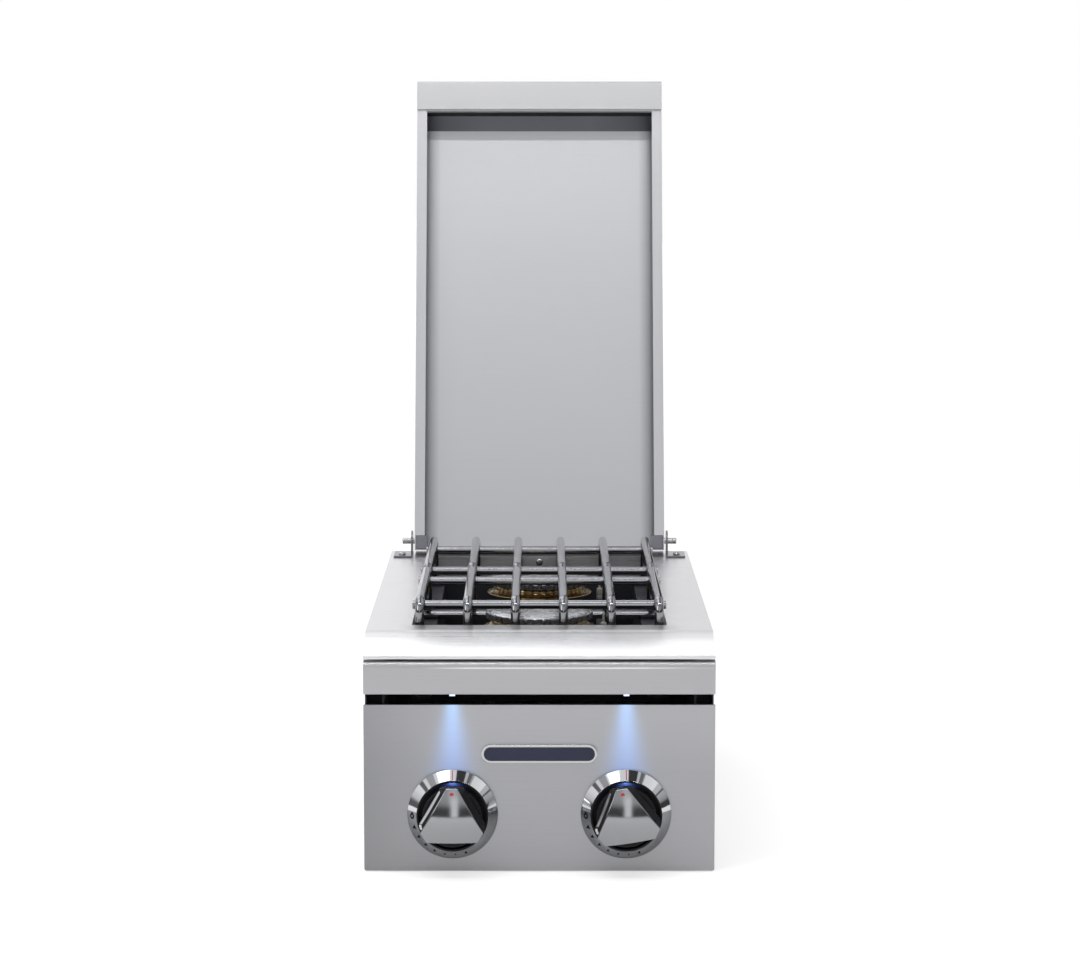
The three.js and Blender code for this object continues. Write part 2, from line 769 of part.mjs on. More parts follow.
function knobShape() {
  const outline = (reach) => new THREE.Shape([
    new THREE.Vector2(gripTopWidth / 2 + reach, gripRise),
    new THREE.Vector2(-gripTopWidth / 2 - reach, gripRise),
    new THREE.Vector2(-gripShoulderWidth / 2 - reach, -gripShoulderDrop),
    new THREE.Vector2(-gripBaseWidth / 2 - reach, -gripBaseDrop),
    new THREE.Vector2(gripBaseWidth / 2 + reach, -gripBaseDrop),
    new THREE.Vector2(gripShoulderWidth / 2 + reach, -gripShoulderDrop),
  ]);
  const bevel = {
    bevelEnabled: true,
    bevelThickness: gripBevel,
    bevelSize: gripBevel,
    bevelOffset: -gripBevel,
    bevelSegments: 2,
  };
  const prism = alongDepth(outline(0), [gripFrontY, gripBackY - gripBevel], bevel);
  const ridgeYs = [gripBackY - ridgeDepth, gripBackY];
  const ridge = alongDepth(outline(ridgeReach), ridgeYs).intersect(rodY(ridgeRadius, 0, ridgeYs, 0, fineSides));
  const crown = turnedForward([
    [0, 0],
    [gripDomeRadius / 2, 0],
    ...Array.from({ length: gripDomeSteps + 1 }, (_, i) => {
      const angle = THREE.MathUtils.degToRad(gripDomeDegrees * (1 - i / gripDomeSteps));
      return [gripDomeRadius * Math.sin(angle), gripDepth + gripDomeRadius * (Math.cos(angle) - 1)];
    }),
  ], 0, gripBackY, -gripDomeDrop);
  const skirt = rodY(skirtRadius, 0, [gripBackY - gripBevel, gripBackY + skirtDepth], 0, fineSides);
  const half = stemWidth / 2 + seatGap;
  const socket = block([-half, half], [stemTipY - seatGap, gripBackY + skirtDepth + overrun], [-half, half]);
  const dotHole = rodY(dotRadius + seatGap, 0, [gripFrontY - overrun, dotFaceY + dotDepth + seatGap], dotHeight,
    smallSides);
  return cut(join(prism.intersect(crown), ridge, skirt), socket, dotHole);
}

function stemShape() {
  const half = stemWidth / 2;
  return block([-half, half], [stemTipY, rotorFrontY + stemRotorReach], [-half, half]);
}

function dotShape() {
  return rodY(dotRadius, 0, [dotFaceY, dotFaceY + dotDepth], dotHeight, smallSides);
}

const valveSides = [[-1, "left", frontBurnerY, 0], [1, "right", rearBurnerY, 1]];
for (const [side, name, endY, index] of valveSides) {
  const x = (side * knobSpacing) / 2;
  place(`${name}_valve_body`, valveShape(x), "brass");
  place(`${name}_valve_rotor`, rotorShape(x), "brass");
  place(`${name}_orifice`, orificeShape(x), "brass");
  place(`${name}_mixing_tube`, tubeShape(x, endY), "galvanised");
  place(`${name}_air_shutter`, shutterShape(x), "galvanised");
  place(`${name}_bezel`, bezelShape(x), "chrome");
  const turning = new THREE.Group();
  turning.position.set(x, 0, knobHeight);
  turning.rotation.y = -THREE.MathUtils.degToRad(knobRestTurn[index]);
  burner.add(turning);
  place(`${name}_knob`, knobShape(), "chrome", turning);
  place(`${name}_stem`, stemShape(), "satin", turning);
  place(`${name}_knob_dot`, dotShape(), "red", turning);
}

// Manifold pipe across the front, then along the right side to the inlet fitting at the back
const inletFrontY = casingBackY - inletLength;

function manifoldShape() {
  const startX = -knobSpacing / 2 - manifoldEndReach;
  const route = [[startX, manifoldY, manifoldHeight], [inletX, manifoldY, manifoldHeight],
    [inletX, inletFrontY - seatGap, manifoldHeight]];
  const bore = rodY(manifoldBore, inletX,
    [inletFrontY - manifoldBend, inletFrontY + overrun], manifoldHeight, smallSides);
  return cut(bentRod(route, manifoldRadius, manifoldBend, smallSides), bore);
}
place("gas_manifold", manifoldShape(), "galvanised");
const inletBody = rodY(inletRadius, inletX, [inletFrontY, casingBackY + casingBackInset - seatGap], manifoldHeight);
const inletHole = rodY(inletBore, inletX, [inletFrontY - overrun, backY + overrun], manifoldHeight);
place("gas_inlet_fitting", cut(inletBody, inletHole), "brass");

// Spark box on the bottom of the casing
const sparkY = casingBackY - sparkBoxBackSetback;
place("spark_box", block([-sparkBoxWidth / 2, sparkBoxWidth / 2], [sparkY - sparkBoxDepth, sparkY],
  [sheet + seatGap, sheet + seatGap + sparkBoxHeight]), "blackPlastic");

// Lamps under the rail lip, one over each knob
for (const [side, name] of [[-1, "left"], [1, "right"]]) {
  const x = (side * knobSpacing) / 2;
  const lampY = frontY + railLip / 2;
  const lamp = block([x - lampWidth / 2, x + lampWidth / 2], [lampY - lampDepth / 2, lampY + lampDepth / 2],
    [railBottom - seatGap - lampHeight, railBottom - seatGap]);
  place(`${name}_panel_lamp`, lamp, "lens");
}

// Blank plate between the knobs: a long oval with a dark inlay
function ovalShape(length, height, [y0, y1]) {
  const radius = height / 2;
  const reach = length / 2 - radius;
  const oval = new THREE.Shape();
  oval.absarc(reach, plateCentreHeight, radius, -Math.PI / 2, Math.PI / 2, false);
  oval.absarc(-reach, plateCentreHeight, radius, Math.PI / 2, Math.PI * 1.5, false);
  return alongDepth(oval, [y0, y1], { curveSegments: bendSteps * 2 });
}
const plateBackY = panelFaceY - seatGap;
place("blank_plate", ovalShape(plateLength, plateHeight, [plateBackY - plateThickness, plateBackY]), "chrome");
const inlayBackY = plateBackY - plateThickness - seatGap;
place("plate_inlay", ovalShape(plateLength - inlayMargin * 2, plateHeight - inlayMargin * 2,
  [inlayBackY - inlayThickness, inlayBackY]), "inlay");

// Hinge brackets: a foot on the deck and an ear beside the lid, with a pin through the ear
const pinHole = pinRadius + pinClearance;
const lugOuterX = lidWidth / 2 - lidSheet - seatGap;

function bracketShape() {
  const base = deckHeight + seatGap;
  const foot = block([earOuterX - earThickness, earOuterX + footWidth], [hingeY - footFront, hingeY + footRear],
    [base, base + footThickness]);
  const web = block([earInnerX, earOuterX], [hingeY - earRadius, hingeY + footRear], [base, hingeZ]);
  const top = rodX(earRadius, [earInnerX, earOuterX], hingeY, hingeZ);
  const keep = block([earInnerX, earOuterX], [hingeY - earRadius, hingeY + footRear],
    [base, hingeZ + earRadius + overrun]);
  const hole = rodX(pinHole, [earInnerX - overrun, earOuterX + overrun], hingeY, hingeZ);
  const screwHole = rodZ(screwHoleRadius, footScrewX, footScrewY,
    [base - overrun, base + footThickness + overrun], smallSides);
  return cut(join(foot, web, top.intersect(keep)), hole, screwHole);
}

function mirrored(shape) {
  const geometry = geometryOf(shape);
  geometry.scale(-1, 1, 1);
  return solid(geometry);
}

function pinShape() {
  return rodX(pinRadius, [lugOuterX - lugWidth, earOuterX + pinStandOut], hingeY, hingeZ);
}

function footScrewShape() {
  const seat = deckHeight + seatGap + footThickness + seatGap;
  const head = turnedUp([[0, 0], [screwHeadRadius, 0], [screwHeadRadius, screwHeadHeight / 2],
    [screwHeadRadius / 2, screwHeadHeight], [0, screwHeadHeight]], footScrewX, footScrewY, seat, smallSides);
  const shank = rodZ(screwShankRadius, footScrewX, footScrewY, [seat - screwLength, seat + screwHeadHeight / 2],
    smallSides);
  return join(head, shank);
}
place("right_hinge_bracket", bracketShape(), "polished");
place("left_hinge_bracket", mirrored(bracketShape()), "polished");
place("right_hinge_pin", pinShape(), "polished");
place("left_hinge_pin", mirrored(pinShape()), "polished");
place("right_foot_screw", footScrewShape(), "polished");
place("left_foot_screw", mirrored(footScrewShape()), "polished");

const wallScrewHead = turnedForward([[0, 0], [screwHeadRadius, 0], [screwHeadRadius, screwHeadHeight / 2],
  [screwHeadRadius / 2, screwHeadHeight], [0, screwHeadHeight]], 0, openingBackY - seatGap, wallScrewZ, smallSides);
const wallScrewShank = rodY(screwShankRadius, 0,
  [openingBackY - screwHeadHeight / 2, openingBackY + screwLength], wallScrewZ, smallSides);
place("rear_wall_screw", join(wallScrewHead, wallScrewShank), "polished");

// Lid, drawn closed about its hinge line and then swung open as a group
const lid = new THREE.Group();
lid.position.set(0, hingeY, hingeZ);
lid.rotation.x = -THREE.MathUtils.degToRad(lidOpenAngle);
burner.add(lid);
const rimZ = lidRestGap - hingeRise;
const roofUnder = rimZ + lidInnerDepth;
const roofTop = roofUnder + lidSheet;
const lidX = lidWidth / 2;

function lidShellShape() {
  const outer = [
    [-lidReach - lidSheet, rimZ],
    [lidRearReach + lidSheet, rimZ],
    [lidRearReach - lidRearSlope + lidSheet, roofTop],
    [-lidReach + lidFrontSlope - lidSheet, roofTop],
  ];
  const inner = [
    [-lidReach, rimZ + lidSheet],
    [lidRearReach, rimZ + lidSheet],
    [lidRearReach - lidRearSlope, roofUnder],
    [-lidReach + lidFrontSlope, roofUnder],
  ];
  const mouth = block([-lidX + lidFlange, lidX - lidFlange], [-lidReach, lidRearReach],
    [rimZ - overrun, rimZ + lidSheet + overrun]);
  const lugNotch = block([-lidX + lidSheet, lidX - lidSheet], [-lugForward, lidRearReach],
    [rimZ - overrun, rimZ + lidSheet + overrun]);
  const pinHoles = rodX(pinHole, [-lidX - overrun, lidX + overrun], 0, 0);
  return cut(acrossWidth(outer, [-lidX, lidX]), acrossWidth(inner, [-lidX + lidSheet, lidX - lidSheet]),
    mouth, lugNotch, pinHoles);
}
place("lid_shell", lidShellShape(), "brushed", lid);

// Lip along the front of the lid: a folded bar that stands a little below the rim
function lidLipShape() {
  const back = -lidReach - lidSheet - seatGap;
  const bottom = lipDeckGap - hingeRise;
  const front = back - lipReach;
  const outline = [
    [back, bottom],
    [back, bottom + lipThickness],
    [front + lipEdge, bottom + lipThickness],
    [front, bottom + lipThickness - lipEdge],
    [front, bottom + lipEdge],
    [front + lipEdge, bottom],
  ];
  return acrossWidth(outline, [-lidX, lidX]);
}
place("lid_lip", lidLipShape(), "brushed", lid);

// Hinge lugs inside the two back corners of the lid, each bored for its pin
function lugShape() {
  const xs = [lugOuterX - lugWidth, lugOuterX];
  const rear = lidRearReach - seatGap;
  const slopeAtTop = (lidRearSlope * (-2 * rimZ)) / lidInnerDepth;
  const outline = [[-lugForward + seatGap, rimZ], [rear - lugClearance, rimZ],
    [rear - slopeAtTop - lugClearance, -rimZ], [-lugForward + seatGap, -rimZ]];
  const body = acrossWidth(outline, xs);
  const bore = rodX(pinHole, [xs[0] - overrun, xs[1] + overrun], 0, 0);
  return cut(body, bore);
}
place("right_lid_lug", lugShape(), "satin", lid);
place("left_lid_lug", mirrored(lugShape()), "satin", lid);

export default burner;
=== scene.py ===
# %% [markdown]
# A built in double side burner stands in an outdoor kitchen: a stainless box with a hinged lid, two lift-off
# rod grates over brass burners, and a lit control panel with two knobs. The CAD model fixes every size and
# joint, so this lesson only dresses it. The dressed burner may not grow out of it.

# %% Load the imported model
import json
import math
import bpy
import bmesh
from mathutils import Matrix, Vector

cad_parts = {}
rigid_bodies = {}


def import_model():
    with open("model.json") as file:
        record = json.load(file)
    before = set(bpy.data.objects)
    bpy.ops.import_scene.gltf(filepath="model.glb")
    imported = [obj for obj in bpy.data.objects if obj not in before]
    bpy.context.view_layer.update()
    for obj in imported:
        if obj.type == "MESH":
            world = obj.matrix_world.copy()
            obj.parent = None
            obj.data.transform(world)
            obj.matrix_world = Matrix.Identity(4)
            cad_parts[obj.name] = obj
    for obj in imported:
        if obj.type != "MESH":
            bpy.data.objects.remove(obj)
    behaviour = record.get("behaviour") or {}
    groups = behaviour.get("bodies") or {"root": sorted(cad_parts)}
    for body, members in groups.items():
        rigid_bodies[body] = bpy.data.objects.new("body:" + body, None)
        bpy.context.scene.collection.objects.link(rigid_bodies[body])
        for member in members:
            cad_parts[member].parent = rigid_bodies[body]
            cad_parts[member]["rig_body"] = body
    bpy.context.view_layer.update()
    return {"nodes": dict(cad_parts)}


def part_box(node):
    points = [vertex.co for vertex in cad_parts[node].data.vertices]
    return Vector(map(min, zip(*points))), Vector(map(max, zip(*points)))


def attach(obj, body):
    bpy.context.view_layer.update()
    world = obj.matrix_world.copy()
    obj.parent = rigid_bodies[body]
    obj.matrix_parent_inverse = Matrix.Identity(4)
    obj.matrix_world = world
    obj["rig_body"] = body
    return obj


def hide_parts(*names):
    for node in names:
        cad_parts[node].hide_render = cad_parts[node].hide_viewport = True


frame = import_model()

MM = 0.001
nodes = frame["nodes"]

# %% [markdown]
# The camera looks at the burner from the photograph's angle. The vanishing point of the deck edges and the
# known sizes give one camera: about 3.3 m away, half a metre above the deck, looking down by under seven
# degrees through a long lens. It has no lens shift, so that the other views stay centred.

# %% Camera
camera_sheet = bpy.data.cameras.new("studio_camera")
camera_sheet.sensor_width = 36.0
camera_sheet.lens = 105.56
camera_sheet.clip_start = 0.05
camera_sheet.clip_end = 60.0
camera = bpy.data.objects.new("studio_camera", camera_sheet)
camera.location = (0.00063, -3.31197, 0.7392)
camera.rotation_euler = (math.radians(90 - 6.725), 0, 0)
bpy.context.scene.collection.objects.link(camera)
bpy.context.scene.camera = camera
bpy.context.scene.view_settings.view_transform = "Standard"
print("camera at", [round(v, 3) for v in camera.location])

# %% [markdown]
# Node trees repeat the same few moves, so short helpers keep the lesson readable. One adds a node and fills
# its sockets by name, with a value or with another node's output. The others start a material, stretch
# noise, give the place of a point, and do sums, ranges, blends and bumps.

# %% Node helpers
def wire(tree, source, target):
    tree.links.new(source, target)


def fill(tree, socket, value):
    """Wires another node's output to the socket, or gives it a plain value."""
    if isinstance(value, bpy.types.NodeSocket):
        wire(tree, value, socket)
    else:
        socket.default_value = value


def add_node(tree, kind, **sockets):
    node = tree.nodes.new(kind)
    for label, value in sockets.items():
        fill(tree, node.inputs[label.replace("_", " ")], value)
    return node


def start_finish(name):
    finish = bpy.data.materials.new(name)
    finish.use_nodes = True
    tree = finish.node_tree
    return finish, tree, tree.nodes["Principled BSDF"]


def spread_noise(tree, stretch, detail=4.0, rough=0.6):
    """Noise in the object's own metres, stretched by a scale for each direction."""
    place = tree.nodes.new("ShaderNodeTexCoord").outputs["Object"]
    mapping = add_node(tree, "ShaderNodeMapping", Vector=place, Scale=stretch)
    noise = add_node(tree, "ShaderNodeTexNoise", Vector=mapping.outputs["Vector"], Scale=1.0, Detail=detail,
                     Roughness=rough)
    return noise.outputs["Fac"]


def place_parts(tree):
    """The X, Y and Z of a point of the surface, in the object's own metres."""
    place = tree.nodes.new("ShaderNodeTexCoord").outputs["Object"]
    return add_node(tree, "ShaderNodeSeparateXYZ", Vector=place).outputs


def remap(tree, value, low, high, to_low, to_high):
    node = add_node(tree, "ShaderNodeMapRange", Value=value, From_Min=low, From_Max=high, To_Min=to_low,
                    To_Max=to_high)
    return node.outputs["Result"]


def blend_colours(tree, value, first, second, how="MIX"):
    """Each colour is three numbers or another node's output."""
    node = tree.nodes.new("ShaderNodeMix")
    node.data_type = "RGBA"
    node.blend_type = how
    for label, colour in (("A", first), ("B", second)):
        fill(tree, node.inputs[label], (*colour, 1) if isinstance(colour, tuple) else colour)
    fill(tree, node.inputs["Factor"], value)
    return node.outputs["Result"]


def combine(tree, how, *values):
    node = tree.nodes.new("ShaderNodeMath")
    node.operation = how
    for socket, value in zip(node.inputs, values):
        fill(tree, socket, value)
    return node.outputs["Value"]


def times(tree, product, *others):
    for other in others:
        product = combine(tree, "MULTIPLY", product, other)
    return product


def plus(tree, total, *others):
    for other in others:
        total = combine(tree, "ADD", total, other)
    return total


def size_of(tree, value):
    return combine(tree, "ABSOLUTE", value)


def tilt(tree, shader, height, strength, depth):
    bump = add_node(tree, "ShaderNodeBump", Strength=strength, Distance=depth, Height=height)
    wire(tree, bump.outputs["Normal"], shader.inputs["Normal"])

# %% [markdown]
# Brushed stainless is steel drawn along an abrasive belt. Its fine scratches all run one way, so it blurs
# reflections much more across the grain than along it. Long stretched noise gives the scratches, a broad
# noise gives the cloudiness of handled sheet, and the shader's anisotropy with a direction across the grain
# gives the drawn-out highlights. The grain runs from side to side on this burner.

# %% Brushed stainless
def brushed_steel(name, colour, roughness, contrast=0.5, anisotropy=0.55, metallic=1.0, shade=None):
    """The shade is an optional function of the tree that gives a factor for the colour, which paints light
    and shade by place.
    """
    finish, tree, shader = start_finish(name)
    shader.inputs["Metallic"].default_value = metallic
    shader.inputs["Anisotropic"].default_value = anisotropy
    grain = spread_noise(tree, (9, 1500, 1500), detail=5)
    clouds = spread_noise(tree, (5, 9, 9), detail=3)
    mixed = plus(tree, times(tree, grain, 0.75), times(tree, clouds, 0.25))
    spread = 0.1 * contrast
    gloss = remap(tree, mixed, 0.35, 0.65, roughness - spread, roughness + spread)
    wire(tree, gloss, shader.inputs["Roughness"])
    dark = tuple(c * (1 - 0.07 * contrast) for c in colour)
    light = tuple(min(1, c * (1 + 0.05 * contrast)) for c in colour)
    tone = blend_colours(tree, remap(tree, mixed, 0.35, 0.65, 0, 1), dark, light)
    if shade:
        scaled = tree.nodes.new("ShaderNodeVectorMath")
        scaled.operation = "SCALE"
        wire(tree, tone, scaled.inputs[0])
        wire(tree, shade(tree), scaled.inputs["Scale"])
        tone = scaled.outputs["Vector"]
    wire(tree, tone, shader.inputs["Base Color"])
    surface = tree.nodes.new("ShaderNodeNewGeometry")
    across = tree.nodes.new("ShaderNodeVectorMath")
    across.operation = "CROSS_PRODUCT"
    wire(tree, surface.outputs["Normal"], across.inputs[0])
    across.inputs[1].default_value = (1, 0, 0)
    wire(tree, across.outputs["Vector"], shader.inputs["Tangent"])
    tilt(tree, shader, grain, 0.3 * contrast, 0.00002)
    return finish


# %% [markdown]
# Large sheets take their tone from what they mirror, and here some of it is painted into the finish, scaled
# by where a point lies. The deck has a painted shade in front of the opening, a painted reflection that makes
# it brighter past the bend, and a painted highlight along the bend. The rail has a painted highlight along
# the foot of its bend, and the panel has a painted shade to the left and is lighter towards the top.

# %% Brushed stainless of each sheet, with painted light and shade
BEND_LINE, OPENING_EDGE = -0.2535, -0.222
RAIL_BEND_FOOT = 0.2019


# Painted reflections on the deck: painted shade in front of the opening, brighter past the bend, and a
# painted highlight on the bend.
def deck_painted_reflections(tree):
    place = place_parts(tree)
    past_bend = remap(tree, place["Y"], BEND_LINE - 0.0085, BEND_LINE + 0.0015, 1, 0)
    before_bend = combine(tree, "SUBTRACT", 1.0, past_bend)
    by_opening = remap(tree, place["Y"], OPENING_EDGE - 0.004, OPENING_EDGE + 0.006, 1, 0)
    in_width = remap(tree, size_of(tree, place["X"]), 0.115, 0.14, 1, 0)
    painted_dark_band = times(tree, by_opening, before_bend, in_width, -0.28)
    from_bend = size_of(tree, plus(tree, place["Y"], -BEND_LINE))
    painted_bend_highlight = times(tree, remap(tree, from_bend, 0.002, 0.005, 0.55, 0), in_width)
    # The brighter apron and the line on the bend are painted light.
    bright = combine(tree, "MAXIMUM", times(tree, past_bend, 0.36), painted_bend_highlight)
    return plus(tree, 1.0, painted_dark_band, bright)


# A painted highlight: a thin bright line along the foot of the rail's bend, fading towards its ends.
def rail_painted_highlight(tree):
    place = place_parts(tree)
    from_foot = size_of(tree, plus(tree, place["Z"], -RAIL_BEND_FOOT))
    at_foot = remap(tree, from_foot, 0.0004, 0.0009, 0.82, 0)
    from_left = remap(tree, place["X"], -0.115, -0.07, 0, 1)
    to_right = remap(tree, place["X"], 0.1, 0.15, 1, 0.15)
    return plus(tree, 1.0, times(tree, at_foot, from_left, to_right))


# Painted shade and light on the panel: darker to the left and lighter towards the top.
def panel_painted_light_and_shade(tree):
    place = place_parts(tree)
    from_left = remap(tree, place["X"], -0.17, -0.08, 0.76, 1.0)
    up_panel = remap(tree, place["Z"], 0.1, 0.164, 1.0, 1.12)
    return times(tree, from_left, up_panel)


deck_steel = brushed_steel("deck_steel", (0.645, 0.645, 0.648), 0.30, contrast=0.4, shade=deck_painted_reflections)
rail_steel = brushed_steel("rail_steel", (0.535, 0.535, 0.55), 0.34, metallic=0.95, shade=rail_painted_highlight)
panel_steel = brushed_steel("panel_steel", (0.475, 0.478, 0.495), 0.36, metallic=0.94, shade=panel_painted_light_and_shade)
lid_steel = brushed_steel("lid_steel", (0.60, 0.605, 0.62), 0.33, contrast=0.3)
lip_steel = brushed_steel("lip_steel", (0.56, 0.565, 0.572), 0.33, contrast=0.3)
print("brushed finishes:", [m.name for m in (deck_steel, rail_steel, panel_steel, lid_steel, lip_steel)])

# %% [markdown]
# Inside the lid, shade is painted into the steel: darker along the side walls and on the end wall behind the
# lip, and a little darker towards the hinge. Both are the same brushed steel with its colour scaled by where
# a point lies, and the end wall's copy is much darker all over, as painted shade. The lid leans back, so its
# lengthways place is worked out from the hinge line.

# %% Painted shade inside the lid
HINGE = Vector((0, 0.277, 0.2461))
ALONG_LID = Vector((0, 0.2756, 0.9613))
INTO_LID = Vector((0, 0.9613, -0.2756))


# Painted shade along the lid's side walls, a little darker towards the hinge.
def lid_side_painted_shade(tree):
    place = place_parts(tree)
    beside = remap(tree, size_of(tree, place["X"]), 0.116, 0.1295, 1.0, 0.6)
    up_lid = plus(tree, times(tree, place["Y"], ALONG_LID.y), times(tree, place["Z"], ALONG_LID.z))
    start = HINGE.dot(ALONG_LID)
    return times(tree, beside, remap(tree, up_lid, start, start + 0.5, 0.93, 1.03))


# Painted shade on the end wall, darker towards the side walls.
def lid_end_painted_shade(tree):
    place = place_parts(tree)
    return remap(tree, size_of(tree, place["X"]), 0.06, 0.1295, 1.0, 0.62)


# The roof's steel and the much darker end wall steel carry painted shade.
lid_inner_steel = brushed_steel("lid_inner_steel", (0.60, 0.608, 0.628), 0.33, contrast=0.25,
                                shade=lid_side_painted_shade)
lid_end_steel = brushed_steel("lid_end_steel", (0.29, 0.295, 0.32), 0.36, contrast=0.5, shade=lid_end_painted_shade)
print("finishes inside the lid:", lid_inner_steel.name, lid_end_steel.name)

# %% [markdown]
# Rods, bezels and knobs are polished or chromed, so they are nearly mirrors. What makes them look real is
# what a rag leaves: very fine scratches in no direction and faint smears, which change the gloss a little
# from place to place. Two noises of different size do that.

# %% Polished and chromed metal
def polished_metal(name, colour, roughness, smear=0.05, scratch_depth=0.00001):
    finish, tree, shader = start_finish(name)
    shader.inputs["Metallic"].default_value = 1.0
    smears = spread_noise(tree, (45, 45, 45), detail=3)
    scratches = spread_noise(tree, (900, 900, 900), detail=2)
    wire(tree, remap(tree, smears, 0.35, 0.7, roughness, roughness + smear), shader.inputs["Roughness"])
    dark = tuple(c * 0.95 for c in colour)
    wire(tree, blend_colours(tree, smears, colour, dark), shader.inputs["Base Color"])
    tilt(tree, shader, scratches, 0.15, scratch_depth)
    return finish


rod_polish = polished_metal("rod_polish", (0.32, 0.325, 0.34), 0.07, smear=0.02, scratch_depth=0.000002)
bezel_chrome = polished_metal("bezel_chrome", (0.72, 0.73, 0.75), 0.05, smear=0.03)
# The bezel's satin is much darker than its chrome: painted shade for the lower half of the cone.
bezel_satin = polished_metal("bezel_satin", (0.32, 0.33, 0.34), 0.22, smear=0.05)
plate_chrome = polished_metal("plate_chrome", (0.6, 0.605, 0.615), 0.12, smear=0.03)
knob_satin = polished_metal("knob_satin", (0.38, 0.388, 0.4), 0.1, smear=0.03)
hardware_steel = polished_metal("hardware_steel", (0.52, 0.525, 0.535), 0.2, smear=0.1)
# The hinge steel is much darker than the other hardware: a painted shade for the dark hinge corner.
hinge_steel = polished_metal("hinge_steel", (0.26, 0.262, 0.275), 0.24, smear=0.1)
lug_steel = polished_metal("lug_steel", (0.23, 0.232, 0.26), 0.3, smear=0.06)
print("polished finishes:", [m.name for m in (rod_polish, bezel_chrome, bezel_satin, knob_satin)])

# %% [markdown]
# Cast brass and cast steel keep the texture of their mould. The brass has darker, duller patches where heat
# has tinted it, and the cap has a satin skin with small pits.

# %% Cast metals
def cast_metal(name, colour, tint, roughness, pit_depth):
    finish, tree, shader = start_finish(name)
    shader.inputs["Metallic"].default_value = 1.0
    patches = spread_noise(tree, (60, 60, 90), detail=5)
    pits = spread_noise(tree, (700, 700, 700), detail=3, rough=0.7)
    amount = remap(tree, patches, 0.42, 0.72, 0, 1)
    wire(tree, blend_colours(tree, amount, colour, tint), shader.inputs["Base Color"])
    wire(tree, remap(tree, patches, 0.35, 0.7, roughness - 0.06, roughness + 0.1), shader.inputs["Roughness"])
    tilt(tree, shader, pits, 0.4, pit_depth)
    return finish


burner_brass = cast_metal("burner_brass", (0.5, 0.35, 0.165), (0.4, 0.27, 0.12), 0.2, 0.000006)
cap_steel = cast_metal("cap_steel", (0.56, 0.565, 0.58), (0.47, 0.472, 0.485), 0.26, 0.00001)
fitting_brass = cast_metal("fitting_brass", (0.74, 0.54, 0.25), (0.55, 0.38, 0.16), 0.3, 0.00003)
print("cast finishes:", burner_brass.name, cap_steel.name, fitting_brass.name)

# %% [markdown]
# The casing is bare galvanised sheet. Zinc freezes on it in flat crystals a centimetre or two across, each
# tilted a little differently, so each has its own grey and gloss. A cell pattern makes those spangles.

# %% Galvanised sheet
def spangled_zinc(name):
    finish, tree, shader = start_finish(name)
    shader.inputs["Metallic"].default_value = 1.0
    place = tree.nodes.new("ShaderNodeTexCoord").outputs["Object"]
    crystals = add_node(tree, "ShaderNodeTexVoronoi", Vector=place, Scale=95.0)
    split = add_node(tree, "ShaderNodeSeparateColor", Color=crystals.outputs["Color"])
    tone = split.outputs["Red"]
    grey = blend_colours(tree, tone, (0.47, 0.485, 0.5), (0.62, 0.63, 0.645))
    wire(tree, grey, shader.inputs["Base Color"])
    dust = spread_noise(tree, (12, 12, 12), detail=4)
    gloss = plus(tree, times(tree, split.outputs["Green"], 0.16), times(tree, dust, 0.2))
    wire(tree, remap(tree, gloss, 0.05, 0.35, 0.34, 0.56), shader.inputs["Roughness"])
    tilt(tree, shader, tone, 0.12, 0.00004)
    return finish


galvanised = spangled_zinc("galvanised_sheet")
print("sheet finish:", galvanised.name)

# %% [markdown]
# The rest is enamel, plastic and ceramic. None of it is a flat colour: enamel has an orange-peel ripple,
# moulded plastic a fine spark texture, and the fired bowl under the burners is stained unevenly by heat.

# %% Enamel, plastic and ceramic
def coated(name, colour, tint, roughness, ripple_scale, ripple_depth, coat=0.0, specular=0.5):
    finish, tree, shader = start_finish(name)
    shader.inputs["Coat Weight"].default_value = coat
    shader.inputs["Specular IOR Level"].default_value = specular
    stains = spread_noise(tree, (18, 18, 18), detail=5)
    ripple = spread_noise(tree, (ripple_scale, ripple_scale, ripple_scale), detail=2)
    stained = blend_colours(tree, remap(tree, stains, 0.35, 0.7, 0, 1), colour, tint)
    wire(tree, stained, shader.inputs["Base Color"])
    wire(tree, remap(tree, stains, 0.3, 0.7, roughness - 0.05, roughness + 0.08), shader.inputs["Roughness"])
    tilt(tree, shader, ripple, 0.3, ripple_depth)
    return finish


bowl_enamel = coated("bowl_enamel", (0.026, 0.029, 0.038), (0.013, 0.013, 0.015), 0.58, 420, 0.00005)
black_mould = coated("black_mould", (0.008, 0.008, 0.010), (0.012, 0.012, 0.014), 0.4, 1400, 0.00002,
                     specular=0.22)
white_ceramic = coated("white_ceramic", (0.38, 0.375, 0.365), (0.26, 0.25, 0.235), 0.35, 500, 0.00002,
                       coat=0.3)
red_enamel = coated("red_enamel", (0.62, 0.012, 0.02), (0.5, 0.01, 0.016), 0.22, 900, 0.00001, coat=0.6)
mark_ink = coated("mark_ink", (0.006, 0.006, 0.007), (0.01, 0.01, 0.011), 0.7, 900, 0.00001, specular=0.15)
plate_blue = coated("plate_blue", (0.010, 0.014, 0.05), (0.007, 0.010, 0.035), 0.35, 600, 0.00001, coat=0.1)

